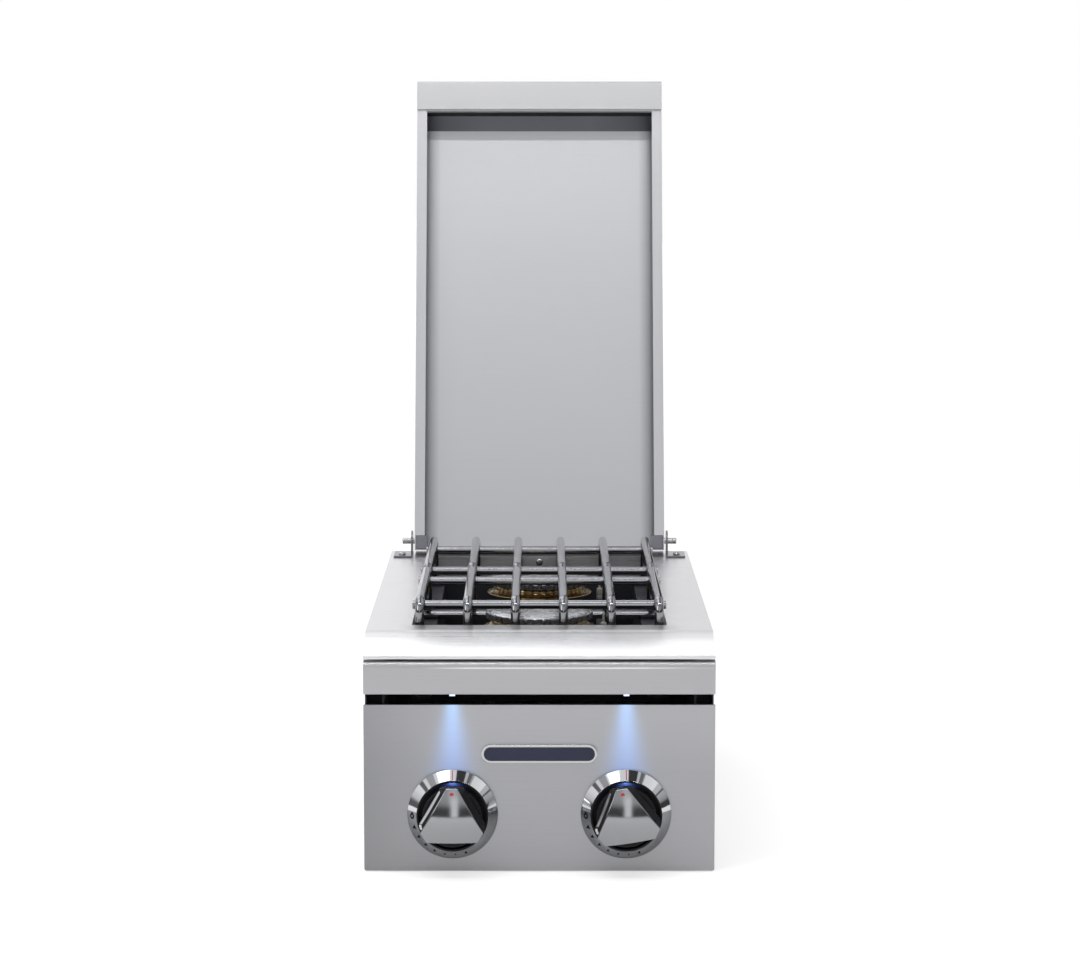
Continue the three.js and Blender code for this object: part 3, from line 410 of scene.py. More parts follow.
lamp_glow, lamp_tree, lamp_shader = start_finish("lamp_glow")
lamp_shader.inputs["Emission Color"].default_value = (0.72, 0.84, 1.0, 1)
lamp_shader.inputs["Emission Strength"].default_value = 0.9
lamp_grain = spread_noise(lamp_tree, (900, 900, 900), detail=2)
lamp_tone = blend_colours(lamp_tree, lamp_grain, (0.75, 0.82, 0.95), (0.6, 0.7, 0.9))
wire(lamp_tree, lamp_tone, lamp_shader.inputs["Base Color"])
wire(lamp_tree, remap(lamp_tree, lamp_grain, 0.3, 0.7, 0.25, 0.5), lamp_shader.inputs["Roughness"])
print("materials so far:", len(bpy.data.materials))

# %% [markdown]
# Under the front rail sit two small lamps that shine down over the panel, and each leaves a blue fan of light
# on the steel. The fan is added to the panel's finish by place: brightest in the middle, wider lower down and
# fading on its way to the bezel.

# %% Blue fans on the panel
PANEL_FRONT = -0.2928


def blue_fans(finish, lamp_x, top, length):
    tree = finish.node_tree
    place = place_parts(tree)
    from_middle = combine(tree, "SUBTRACT", size_of(tree, place["X"]), lamp_x)
    below = remap(tree, place["Z"], top - length, top, length, 0)
    spread = plus(tree, times(tree, below, 0.12), 5.0 * MM)
    ratio = combine(tree, "DIVIDE", from_middle, spread)
    bell = combine(tree, "POWER", math.e, times(tree, ratio, ratio, -0.5))
    soft_end = remap(tree, below, 0.062, length, 1.0, 0.0)
    fade = times(tree, remap(tree, below, 0, 0.06, 1.0, 0.62), soft_end)
    front_only = remap(tree, place["Y"], PANEL_FRONT + 0.0003, PANEL_FRONT, 0, 1)
    shader = tree.nodes["Principled BSDF"]
    blue = blend_colours(tree, remap(tree, below, 0, 0.06, 0, 1), (0.20, 0.50, 1.0), (0.10, 0.34, 1.0))
    wire(tree, blue, shader.inputs["Emission Color"])
    wire(tree, times(tree, bell, fade, front_only, 0.6), shader.inputs["Emission Strength"])


lamp_low, lamp_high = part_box("right_panel_lamp")
panel_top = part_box("control_panel")[1].z
blue_fans(panel_steel, (lamp_low.x + lamp_high.x) / 2, panel_top, 0.078)
print("fans start at", round(panel_top, 4))

# %% [markdown]
# Every new piece goes through the same door: it gets its finish, rides on the body of the CAD node that it
# stands for, and hides that node.

# %% Putting a piece on the burner
body_of = {name: node["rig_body"] for name, node in nodes.items()}


def new_object(name, mesh, finish):
    piece = bpy.data.objects.new(name, mesh)
    bpy.context.scene.collection.objects.link(piece)
    piece.data.materials.clear()
    piece.data.materials.append(finish)
    return piece


def stand_for(piece, *members):
    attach(piece, body_of[members[0]])
    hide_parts(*members)
    return piece


def baked(piece):
    """Leaves the piece with the mesh that its modifiers make, and without them."""
    bpy.context.view_layer.update()
    evaluated = piece.evaluated_get(bpy.context.evaluated_depsgraph_get())
    mesh = bpy.data.meshes.new_from_object(evaluated, preserve_all_data_layers=True,
                                           depsgraph=bpy.context.evaluated_depsgraph_get())
    piece.modifiers.clear()
    piece.data = mesh
    mesh.name = piece.name
    return piece


def shade_by_angle(piece, degrees):
    piece.data.shade_smooth()
    piece.data.set_sharp_from_angle(angle=math.radians(degrees))


def skin(shape, rings):
    """Joins each ring of points to the next and closes both ends."""
    for first, second in zip(rings, rings[1:]):
        for k in range(len(first)):
            n = (k + 1) % len(first)
            shape.faces.new([first[k], first[n], second[n], second[k]])
    shape.faces.new(rings[0])
    shape.faces.new(rings[-1])


def mesh_from(shape, name):
    """Makes a mesh of a working shape, with its faces turned outwards, and frees the shape."""
    bmesh.ops.recalc_face_normals(shape, faces=shape.faces)
    mesh = bpy.data.meshes.new(name)
    shape.to_mesh(mesh)
    shape.free()
    return mesh


# %% [markdown]
# Folded sheet has no knife edges: every bend has a small radius and every cut edge is deburred. The CAD
# nodes have sharp edges, so each sheet part is copied, its flat triangles are merged into whole faces, and
# a bevel rounds its edges by a few tenths of a millimetre. The weighted normals keep the large faces flat.
# The casing's back closes up to its sides, so that no light from behind shows in its corners.

# %% Sheet parts with rounded edges
BACK_END, CORNER_GAP = 0.1495, 0.35 * MM


def softened(node, finish, edge):
    shape = bmesh.new()
    shape.from_mesh(nodes[node].data)
    bmesh.ops.remove_doubles(shape, verts=shape.verts, dist=0.01 * MM)
    bmesh.ops.dissolve_limit(shape, angle_limit=math.radians(0.4), verts=shape.verts, edges=shape.edges)
    piece = new_object(node + "_dressed", mesh_from(shape, node + "_dressed"), finish)
    piece.data.shade_smooth()
    bevel = piece.modifiers.new("edges", "BEVEL")
    bevel.width = edge * MM
    bevel.segments = 2
    bevel.limit_method = "ANGLE"
    bevel.angle_limit = math.radians(30)
    bevel.miter_outer = "MITER_ARC"
    keep_flat = piece.modifiers.new("flat faces", "WEIGHTED_NORMAL")
    keep_flat.weight = 100
    return stand_for(baked(piece), node)


# The rail cheeks take the dark bowl enamel, a painted shade for the slot behind the rail.
sheet_parts = [
    ("deck", deck_steel, 0.35), ("front_rail", rail_steel, 0.4), ("left_rail_cheek", bowl_enamel, 0.3),
    ("right_rail_cheek", bowl_enamel, 0.3), ("control_panel", panel_steel, 0.45),
    ("lid_shell", lid_steel, 0.3), ("lid_lip", lip_steel, 0.5),
    ("casing_bottom", galvanised, 0.3), ("casing_left", galvanised, 0.3),
    ("casing_right", galvanised, 0.3), ("casing_back", galvanised, 0.3), ("burner_bowl", bowl_enamel, 0.5),
]
for node, finish, edge in sheet_parts:
    softened(node, finish, edge)
for vertex in bpy.data.objects["casing_back_dressed"].data.vertices:
    if abs(vertex.co.x) > BACK_END:
        vertex.co.x += math.copysign(CORNER_GAP, vertex.co.x)
print("sheet parts:", len(sheet_parts))

# %% [markdown]
# Some faces of a piece have a finish of their own. The casing's front edges are painted black, a painted
# shade for the dark slot behind the rail, and the lid's roof and end wall get their steel with painted shade.

# %% Faces with another finish
def repaint(piece, finish, rule):
    """Gives the faces that pass the rule a finish of their own."""
    piece.data.materials.append(finish)
    count = 0
    for face in piece.data.polygons:
        if rule(face.center, face.normal):
            face.material_index = len(piece.data.materials) - 1
            count += 1
    return count


# Black on the casing's front edges is painted shade.
for side in ("left", "right"):
    casing_side = bpy.data.objects["casing_" + side + "_dressed"]
    repaint(casing_side, black_mould, lambda place, facing: facing.y < -0.5)


def on_lid_roof(place, facing):
    return facing.dot(INTO_LID) < -0.98 and (place - HINGE).dot(INTO_LID) > 0.02


def on_lid_end(place, facing):
    along, into = (place - HINGE).dot(ALONG_LID), (place - HINGE).dot(INTO_LID)
    return facing.dot(ALONG_LID) < -0.85 and along > 0.4 and -0.006 < into < 0.03


lid_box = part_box("lid_shell")
lid_dressed = bpy.data.objects["lid_shell_dressed"]
lid_roof = repaint(lid_dressed, lid_inner_steel, on_lid_roof)
lid_end = repaint(lid_dressed, lid_end_steel, on_lid_end)
print("duller faces in the lid:", lid_roof, lid_end)

# %% [markdown]
# A black strip on the lid's end wall, just behind the lip, is a painted shadow: it stands in for the shade
# that the lip casts there. It follows the slope of the wall and stops short of the side walls.

# %% Painted shadow behind the lid lip
SHADOW_STRIP_SECTION = ((-5.9, 0.3), (-5.4, 1.0), (0.6, 1.0), (1.3, 0.3))
END_WALL_SLOPE = 13 / 38.8


def lid_seal():
    far = max((Vector(v.co) - HINGE).dot(ALONG_LID) for v in lid_dressed.data.vertices) - 1.35 * MM
    section = []
    for into, lift in SHADOW_STRIP_SECTION:
        along = far - (into + 6.8) * MM * END_WALL_SLOPE - lift * MM
        section.append(HINGE + ALONG_LID * along + INTO_LID * into * MM)
    shape = bmesh.new()
    half = lid_box[1].x - 2.2 * MM
    skin(shape, [[shape.verts.new((x, point.y, point.z)) for point in section] for x in (-half, half)])
    shadow_strip = new_object("lid_seal", mesh_from(shape, "lid_seal"), black_mould)
    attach(shadow_strip, "lid")
    return shadow_strip


print("seal:", [round(v * 1000, 1) for v in lid_seal().dimensions])

# %% [markdown]
# The hinges, valves and gas fittings are small machined parts. They keep their CAD form too, with broken
# edges, because a chamfer that catches the light is what makes a small part look machined.

# %% Machined parts
machined_parts = [
    ("left_hinge_bracket", hinge_steel, 0.4), ("right_hinge_bracket", hinge_steel, 0.4),
    ("left_lid_lug", lug_steel, 0.5), ("right_lid_lug", lug_steel, 0.5),
    ("left_valve_body", fitting_brass, 0.8), ("right_valve_body", fitting_brass, 0.8),
    ("left_valve_rotor", fitting_brass, 0.3), ("right_valve_rotor", fitting_brass, 0.3),
    ("left_orifice", fitting_brass, 0.3), ("right_orifice", fitting_brass, 0.3),
    ("left_mixing_tube", galvanised, 0.3), ("right_mixing_tube", galvanised, 0.3),
    ("left_air_shutter", galvanised, 0.2), ("right_air_shutter", galvanised, 0.2),
    ("gas_manifold", galvanised, 0.4), ("gas_inlet_fitting", fitting_brass, 0.6),
    ("left_stem", hardware_steel, 0.3), ("right_stem", hardware_steel, 0.3),
    ("spark_box", black_mould, 1.2), ("blank_plate", plate_chrome, 0.6), ("plate_inlay", plate_blue, 0.25),
    ("left_panel_lamp", lamp_glow, 0.3), ("right_panel_lamp", lamp_glow, 0.3),
]
for node, finish, edge in machined_parts:
    softened(node, finish, edge)
print("machined parts:", len(machined_parts))

# %% [markdown]
# Burner bodies, bezels, pins and electrodes are turned on a lathe, so their shape is one profile swept round
# an axis. The corners of each profile are eased first, then the profile is copied round in 96 steps, which
# stays round even close up. The wide bezels get more steps than that and the thin bars fewer.

# %% Turning helpers
def eased(points, reach, closed=False, steps=4):
    """Rounds each corner of a row of points by up to this reach."""
    made = []
    count = len(points)
    for i, point in enumerate(points):
        corner = Vector(point)
        if not closed and i in (0, count - 1):
            made.append(corner)
            continue
        before, after = Vector(points[i - 1]) - corner, Vector(points[(i + 1) % count]) - corner
        start = corner + before * min(0.45, reach / before.length)
        end = corner + after * min(0.45, reach / after.length)
        for k in range(steps + 1):
            t = k / steps
            made.append(start * (1 - t) ** 2 + corner * 2 * t * (1 - t) + end * t ** 2)
    return made


FACINGS = {
    "up": lambda r, a, h: Vector((r * math.cos(a), r * math.sin(a), h)),
    "front": lambda r, a, h: Vector((r * math.cos(a), -h, r * math.sin(a))),
    "side": lambda r, a, h: Vector((h, r * math.cos(a), r * math.sin(a))),
}


def turned(name, profile, centre, facing, finish, closed=True, steps=96):
    """A lathe shape from (radius, height) pairs in millimetres about a centre in metres."""
    shape = bmesh.new()
    rings = []
    for radius, height in profile:
        ring = []
        for k in range(1 if radius < 1e-6 else steps):
            offset = FACINGS[facing](radius * MM, 2 * math.pi * k / steps, height * MM)
            ring.append(shape.verts.new(Vector(centre) + offset))
        rings.append(ring)
    pairs = list(zip(rings, rings[1:])) + ([(rings[-1], rings[0])] if closed else [])
    for first, second in pairs:
        for k in range(steps):
            n = k + 1
            corners = [first[k % len(first)], first[n % len(first)],
                       second[n % len(second)], second[k % len(second)]]
            unique = list(dict.fromkeys(corners))
            if len(unique) > 2:
                shape.faces.new(unique)
    piece = new_object(name, mesh_from(shape, name), finish)
    shade_by_angle(piece, 32)
    return piece


def held(points, reach=0.35):
    """Adds a point near both ends of each long stretch of a closed profile, which keeps flat bands flat."""
    made = []
    for k, point in enumerate(points):
        after = points[(k + 1) % len(points)]
        length = (after - point).length
        made.append(point)
        if length > 4 * reach:
            made += [point.lerp(after, reach / length), point.lerp(after, 1 - reach / length)]
    return made


def middle(node):
    low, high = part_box(node)
    return (low + high) / 2


print("ways to face:", list(FACINGS))

# %% [markdown]
# Each burner has a brass body shaped like a trumpet: a neck that takes the mixing tube, a wide thin flange,
# and a collar that narrows in a curve up to the cap. A fine machined groove runs round the collar. The side
# is a list of radii and depths below the top, so it keeps its form when the CAD body changes its height.

# %% Brass burner bodies
BRASS_SIDE = [(24, 24), (30, 20.6), (44, 13.6), (56.8, 10), (57.5, 9.4), (57.4, 8.7), (55.2, 7.9),
              (53.2, 7.0), (51.6, 5.9), (50.3, 4.8), (49.7, 3.9), (49.1, 3.7), (49.0, 3.1), (49.2, 2.9),
              (48.3, 1.0), (47.8, 0), (43, 0), (38, 10), (17, 23.6)]


def brass_body(node):
    low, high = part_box(node)
    tall = (high.z - low.z) / MM
    centre = (middle(node).x, middle(node).y, low.z)
    outline = [(17, 0), (24, 0)] + [(radius, tall - below) for radius, below in BRASS_SIDE]
    profile = eased(outline, 0.5, closed=True, steps=3)
    return stand_for(turned(node + "_dressed", profile, centre, "up", burner_brass), node)


for node in ("front_burner_body", "rear_burner_body"):
    print(node, "faces:", len(brass_body(node).data.polygons))

# %% [markdown]
# The cap that spreads the flame is a disc whose rim is cut into teeth, and the gas burns between them. The
# teeth repeat round a circle, which is a rule, so Geometry Nodes place them: a ring of points carries one
# tooth each, turned to point outwards. The tooth count and sizes are inputs of the tree.

# %% A tree for the notched rim
def start_tree(name, sizes):
    tree = bpy.data.node_groups.new(name, "GeometryNodeTree")
    tree.interface.new_socket("Geometry", in_out="INPUT", socket_type="NodeSocketGeometry")
    for label, (kind, value) in sizes.items():
        tree.interface.new_socket(label, in_out="INPUT", socket_type=kind).default_value = value
    tree.interface.new_socket("Geometry", in_out="OUTPUT", socket_type="NodeSocketGeometry")
    return tree, tree.nodes.new("NodeGroupInput").outputs, tree.nodes.new("NodeGroupOutput").inputs


def vector(tree, **sockets):
    return add_node(tree, "ShaderNodeCombineXYZ", **sockets).outputs["Vector"]


def copies(tree, points, piece, **sockets):
    """Stands a copy of the piece at every point."""
    node = add_node(tree, "GeometryNodeInstanceOnPoints", Points=points, Instance=piece, **sockets)
    return node.outputs["Instances"]


def moved(tree, geometry, **sockets):
    return add_node(tree, "GeometryNodeTransform", Geometry=geometry, **sockets).outputs["Geometry"]


def realized(tree, geometry):
    return add_node(tree, "GeometryNodeRealizeInstances", Geometry=geometry).outputs["Geometry"]


def joined(tree, *shapes):
    whole = tree.nodes.new("GeometryNodeJoinGeometry")
    for shape in shapes:
        wire(tree, shape, whole.inputs["Geometry"])
    return whole.outputs["Geometry"]


def finish_tree(tree, geometry, finish, target):
    paint = add_node(tree, "GeometryNodeSetMaterial", Geometry=realized(tree, geometry), Material=finish)
    wire(tree, paint.outputs["Geometry"], target)


def run_tree(piece, tree, **sizes):
    modifier = piece.modifiers.new(tree.name, "NODES")
    modifier.node_group = tree
    for item in tree.interface.items_tree:
        key = item.name.replace(" ", "_").lower()
        if item.in_out == "INPUT" and key in sizes:
            modifier[item.identifier] = sizes[key]
    return baked(piece)


LENGTH, WHOLE = "NodeSocketFloat", "NodeSocketInt"
rim_tree, rim_in, rim_out = start_tree("notched rim", {
    "Teeth": (WHOLE, 36), "Rim Radius": (LENGTH, 0.055), "Tooth Depth": (LENGTH, 0.0034),
    "Tooth Width": (LENGTH, 0.0056), "Tooth Height": (LENGTH, 0.0052), "Height": (LENGTH, 0.222)})
half_tooth = times(rim_tree, rim_in["Tooth Depth"], 0.5)
ring_radius = combine(rim_tree, "SUBTRACT", rim_in["Rim Radius"], half_tooth)
ring = add_node(rim_tree, "GeometryNodeMeshCircle", Vertices=rim_in["Teeth"], Radius=ring_radius)
tooth = add_node(rim_tree, "GeometryNodeMeshCylinder", Vertices=8, Radius=0.5, Depth=1.0)
tooth_long = times(rim_tree, rim_in["Tooth Depth"], 1.08)
tooth_size = vector(rim_tree, X=tooth_long, Y=rim_in["Tooth Width"], Z=rim_in["Tooth Height"])
number = rim_tree.nodes.new("GeometryNodeInputIndex").outputs["Index"]
turn = combine(rim_tree, "DIVIDE", times(rim_tree, number, 2 * math.pi), rim_in["Teeth"])
teeth = copies(rim_tree, ring.outputs["Mesh"], tooth.outputs["Mesh"], Rotation=vector(rim_tree, Z=turn),
               Scale=tooth_size)
lifted_teeth = moved(rim_tree, teeth, Translation=vector(rim_tree, Z=rim_in["Height"]))
finish_tree(rim_tree, joined(rim_tree, rim_in["Geometry"], lifted_teeth), cap_steel, rim_out["Geometry"])
print("rim tree nodes:", len(rim_tree.nodes))

# %% [markdown]
# The disc of a cap is turned on the lathe, low and slightly domed. The tree then adds its rim, with a tooth's
# height and place taken from the height of the CAD cap.

# %% Burner caps
CAP_TOP = [(52.2, 2.6), (50.4, 1.5), (44, 0.5), (24, 0.05), (12, 0), (0, 0.1)]


def burner_cap(node):
    low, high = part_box(node)
    tall = (high.z - low.z) / MM
    outline = [(0, 0), (50.5, 0), (52.2, 0.8)] + [(radius, tall - below) for radius, below in CAP_TOP]
    disc = turned(node + "_dressed", eased(outline, 1.0), (0, 0, 0), "up", cap_steel, closed=False)
    run_tree(disc, rim_tree, teeth=36, rim_radius=0.0549, tooth_height=(tall - 2.2) * MM,
             height=(tall - 1.8) / 2 * MM)
    disc.data.transform(Matrix.Translation((middle(node).x, middle(node).y, low.z)))
    shade_by_angle(disc, 35)
    return stand_for(disc, node)


for node in ("front_burner_cap", "rear_burner_cap"):
    print(node, "faces:", len(burner_cap(node).data.polygons))

# %% [markdown]
# Each grate is bent from round rod. Six rods run front to back, turn down at both ends in a tight bend and
# stand on the ledge of the bowl, and two cross rods are welded under them. The rule is short, so the grate is
# one tree: the route of one rod comes in as a line of four points, a fillet bends it, a circle is swept along
# it, and copies of it stand side by side over the cross rods, with a bead of weld at every crossing.

# %% A tree for the rod grate
grate_tree, grate_in, grate_out = start_tree("rod grate", {
    "Rods": (WHOLE, 6), "Pitch": (LENGTH, 0.0476), "Rod Radius": (LENGTH, 0.0045),
    "Bend Radius": (LENGTH, 0.012), "Cross Length": (LENGTH, 0.254), "Cross Height": (LENGTH, 0.2439),
    "Cross Start": (LENGTH, -0.177), "Cross Span": (LENGTH, 0.16), "Weld Radius": (LENGTH, 0.0026)})
rod = grate_in["Rod Radius"]
route = add_node(grate_tree, "GeometryNodeMeshToCurve", Mesh=grate_in["Geometry"])
bend = add_node(grate_tree, "GeometryNodeFilletCurve", Curve=route.outputs["Curve"],
                Radius=grate_in["Bend Radius"])
bend.mode = "POLY"
bend.inputs["Count"].default_value = 10
section = add_node(grate_tree, "GeometryNodeCurvePrimitiveCircle", Resolution=22, Radius=rod)
sweep = add_node(grate_tree, "GeometryNodeCurveToMesh", Curve=bend.outputs["Curve"],
                 Profile_Curve=section.outputs["Curve"], Fill_Caps=True)

gaps = combine(grate_tree, "SUBTRACT", grate_in["Rods"], 1)
first_x = times(grate_tree, gaps, grate_in["Pitch"], 0.5, -1)
row = add_node(grate_tree, "GeometryNodeMeshLine", Count=grate_in["Rods"],
               Start_Location=vector(grate_tree, X=first_x), Offset=vector(grate_tree, X=grate_in["Pitch"]))
rods = copies(grate_tree, row.outputs["Mesh"], sweep.outputs["Mesh"])

cross_rod = add_node(grate_tree, "GeometryNodeMeshCylinder", Vertices=22, Radius=rod,
                     Depth=grate_in["Cross Length"])
lying_rod = moved(grate_tree, cross_rod.outputs["Mesh"], Rotation=(0, math.pi / 2, 0))
pair = add_node(grate_tree, "GeometryNodeMeshLine", Count=2,
                Start_Location=vector(grate_tree, Y=grate_in["Cross Start"], Z=grate_in["Cross Height"]),
                Offset=vector(grate_tree, Y=grate_in["Cross Span"]))
crosses = copies(grate_tree, pair.outputs["Mesh"], lying_rod)

crossings = realized(grate_tree, copies(grate_tree, pair.outputs["Mesh"], row.outputs["Mesh"]))
bead = add_node(grate_tree, "GeometryNodeMeshUVSphere", Segments=14, Rings=9, Radius=grate_in["Weld Radius"])
welds = copies(grate_tree, crossings, bead.outputs["Mesh"], Scale=(1.7, 1.4, 0.55))
lifted_welds = moved(grate_tree, welds, Translation=vector(grate_tree, Z=rod))
finish_tree(grate_tree, joined(grate_tree, rods, crosses, lifted_welds), rod_polish, grate_out["Geometry"])
print("grate tree nodes:", len(grate_tree.nodes))

# %% [markdown]
# Each grate gives the tree its route of four points, and the length and places of its cross rods, all read
# from the box of the CAD grate. The cross rods bite a little way into the long ones, where they are welded.

# %% Grates
ROD = 4.5 * MM
CROSS_INSET = 34 * MM
WELD_BITE = 0.8 * MM


def rod_grate(node):
    low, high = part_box(node)
    top = high.z - ROD
    ends = (low.y + ROD, high.y - ROD)
    line = bpy.data.meshes.new(node + "_route")
    line.from_pydata([(0, ends[0], low.z), (0, ends[0], top), (0, ends[1], top), (0, ends[1], low.z)],
                     [(0, 1), (1, 2), (2, 3)], [])
    grate = new_object(node + "_dressed", line, rod_polish)
    run_tree(grate, grate_tree, cross_length=high.x - low.x, cross_height=top - 2 * ROD + WELD_BITE,
             cross_start=low.y + CROSS_INSET, cross_span=high.y - low.y - 2 * CROSS_INSET)
    shade_by_angle(grate, 40)
    return stand_for(grate, node)


for node in ("front_grate", "rear_grate"):
    print(node, "faces:", len(rod_grate(node).data.polygons))

# %% [markdown]
# A plain round rod rests across the bowl behind each burner, and the hinge pins are round pins. Both are
# turned, with a small chamfer at each end.

# %% Support rails and hinge pins
def round_bar(node, finish, chamfer):
    low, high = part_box(node)
    radius, length = (high.z - low.z) / 2 / MM, (high.x - low.x) / MM
    end = radius - chamfer
    outline = [(0, 0), (end, 0), (radius, chamfer), (radius, length - chamfer), (end, length), (0, length)]
    start = (low.x, middle(node).y, middle(node).z)
    bar = turned(node + "_dressed", outline, start, "side", finish, closed=False, steps=32)
    return stand_for(bar, node)


round_bars = [("front_support_rail", rod_polish, 0.6), ("rear_support_rail", rod_polish, 0.6),
              ("left_hinge_pin", hardware_steel, 0.5), ("right_hinge_pin", hardware_steel, 0.5)]
for node, finish, chamfer in round_bars:
    round_bar(node, finish, chamfer)
print("round bars:", len(round_bars))

# %% [markdown]
# The igniter is a ceramic stick with a thin metal tip that throws the spark. A real one has a shoulder and
# two grooves in the ceramic, which keep the spark from creeping along it.

# %% Igniters
def igniter(node):
    low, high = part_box(node)
    tall = (high.z - low.z) / MM
    wide = (high.x - low.x) / 2 / MM
    ceramic = tall - 11
    outline = [(0, 0), (wide, 0), (wide, ceramic - 14), (wide - 0.6, ceramic - 13), (wide, ceramic - 12),
               (wide, ceramic - 9), (wide - 0.6, ceramic - 8), (wide, ceramic - 7), (wide - 0.2, ceramic - 1),
               (wide - 1.2, ceramic), (1.2, ceramic + 0.4), (1.2, tall - 1.2), (0.6, tall), (0, tall)]
    profile = eased(outline, 0.3, steps=2)
    centre = (middle(node).x, middle(node).y, low.z)
    stick = turned(node + "_dressed", profile, centre, "up", white_ceramic, closed=False, steps=32)
    return stand_for(stick, node)


for node in ("front_igniter", "rear_igniter"):
    print(node, "faces:", len(igniter(node).data.polygons))

# %% [markdown]
# The bezel round each knob is a chromed ring: a short rim against the panel, a wide cone that catches the
# light, a narrow land, and a deep well that the knob turns in. The land and the well are painted black, a
# painted shadow. The upper half of the cone is mirror bright and the lower half, which carries the marks, is
# satin, and its darker colour is a painted shade. The marks on the cone are generic: a red index at the top,
# a flame drop for high, and a row of small pointers round the lower half.

# %% Bezels
CONE_FOOT, CONE_TOP, RIM_DEPTH, LAND_DEPTH = 44.0, 34.8, 3.0, 12.8
WELL_RADIUS, WELL_FLOOR, STEM_HOLE = 33, 1.5, 9
SATIN_BELOW = 4


def bezel(node):
    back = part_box(node)[1].y
    centre = (middle(node).x, back, middle(node).z)
    outline = [(STEM_HOLE, 0), (CONE_FOOT, 0), (CONE_FOOT, RIM_DEPTH), (CONE_TOP, LAND_DEPTH),
               (WELL_RADIUS, LAND_DEPTH), (WELL_RADIUS, WELL_FLOOR), (STEM_HOLE, WELL_FLOOR)]
    profile = held(eased(outline, 0.25, closed=True))
    ring = turned(node + "_dressed", profile, centre, "front", bezel_chrome, steps=128)

    def radius_at(place):
        return math.hypot((place.x - centre[0]) / MM, (place.z - centre[2]) / MM)

    def on_lower_cone(place, facing):
        return radius_at(place) > CONE_TOP and (place.z - centre[2]) / MM < SATIN_BELOW

    def in_well(place, facing):
        return radius_at(place) < CONE_TOP + 0.1 and (back - place.y) / MM > 0.2

    # The lower cone's darker satin is painted shade, and the land and well are painted black as a painted
    # shadow.
    repaint(ring, bezel_satin, on_lower_cone)
    repaint(ring, black_mould, in_well)
    return stand_for(ring, node)


def on_cone(x, z, proud):
    """Depth in front of the panel of a point of the cone, in millimetres."""
    share = (CONE_FOOT - math.hypot(x, z)) / (CONE_FOOT - CONE_TOP)
    return RIM_DEPTH + share * (LAND_DEPTH - RIM_DEPTH) + proud


def cone_marks(name, outlines, node, finish):
    centre = Vector((middle(node).x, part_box(node)[1].y, middle(node).z))
    shape = bmesh.new()
    for outline in outlines:
        layers = []
        for proud in (-0.15, 0.1):
            places = [centre + Vector((x, -on_cone(x, z, proud), z)) * MM for x, z in outline]
            layers.append([shape.verts.new(place) for place in places])
        shape.faces.new(layers[0])
        shape.faces.new(list(reversed(layers[1])))
        for k in range(len(outline)):
            n = (k + 1) % len(outline)
            shape.faces.new([layers[0][k], layers[0][n], layers[1][n], layers[1][k]])
    marks = new_object(name, mesh_from(shape, name), finish)
    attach(marks, "root")
    return marks


def pointer(angle, size, reach=38.6):
    x, z = reach * math.cos(math.radians(angle)), reach * math.sin(math.radians(angle))
    return [(x - size * 0.55, z - size * 0.5), (x + size * 0.55, z - size * 0.5), (x, z + size * 0.5)]


def flame_drop(angle, size, reach=39.2):
    x, z = reach * math.cos(math.radians(angle)), reach * math.sin(math.radians(angle))
    side = [(0.0, 1.0), (0.22, 0.55), (0.5, 0.1), (0.52, -0.4), (0.3, -0.85), (0.0, -1.0)]
    right = [(x + u * size, z + v * size) for u, v in side]
    left = [(x - u * size, z + v * size) for u, v in reversed(side[1:-1])]
    return right + left


pointer_sizes = [4.0, 3.6, 3.3, 3.1, 2.3, 1.8, 3.3]
for side in ("left", "right"):
    bezel(side + "_bezel")
    pointers = [pointer(196.6 + 15.5 * k, size) for k, size in enumerate(pointer_sizes)]
    cone_marks(side + "_dial_marks", [flame_drop(180, 3.9)] + pointers, side + "_bezel", mark_ink)
    index = [(-0.45, 35.3), (0.45, 35.3), (0.45, 43.6), (-0.45, 43.6)]
    cone_marks(side + "_dial_index", [index], side + "_bezel", red_enamel)
print("dial marks per knob:", len(pointer_sizes) + 2)

# %% [markdown]
# The knob is a heavy casting: a triangle with its points cut off, softly crowned so that its face mirrors the
# whole room. Its sides are painted black, a painted shade for the dark that they mirror, so that the bright
# face stands out. Behind the face stands a slightly wider ridge with sloped flanks, and a round black skirt
# carries both inside the bezel. The ridge is black too, as painted shade, except for a strip of its left
# flank in chrome, a painted highlight. The face is built as rings that shrink towards the middle, each lifted
# by the crown, which keeps the reflections smooth. The rings between face and sides round the edge. The shape
# is drawn upright and then turned to where the CAD knob rests.

# %% Knobs
GRIP = [(5.5, 31.7), (-5.5, 31.7), (-30.5, -11.6), (-24.8, -20.7), (24.8, -20.7), (30.5, -11.6)]
GRIP_DEPTH = 22.0
CROWN_RADIUS, CROWN_MIDDLE = 95.0, Vector((0, -5.3))
EDGE_ROUND = 0.7
RIDGE_REACH, RIDGE_DEPTH, RIDGE_RADIUS, RIDGE_TOP = 5.2, 13.0, 32.2, 31.2
RIDGE_LEVELS = [(0.6, 0.0), (0, -0.8)]
RIDGE_LEVELS += [(inset, -RIDGE_DEPTH + (4.9 - inset) * 0.85) for inset in (0, 0.15, 0.5, 2.4, 2.5, 4.6, 4.9)]
SKIRT_RADIUS, SKIRT_TOP, KNOB_GAP = 29.0, 1.6, 10 * MM


def between(points, step):
    """Adds points along a closed outline, so that none are farther apart than this step."""
    made = []
    for k, point in enumerate(points):
        after = points[(k + 1) % len(points)]
        parts = max(1, math.ceil((after - point).length / step))
        made += [point.lerp(after, n / parts) for n in range(parts)]
    return made


def crown(flat):
    """How far a point of the face lies behind the highest one, in millimetres."""
    return CROWN_RADIUS - math.sqrt(CROWN_RADIUS ** 2 - (flat - CROWN_MIDDLE).length_squared)


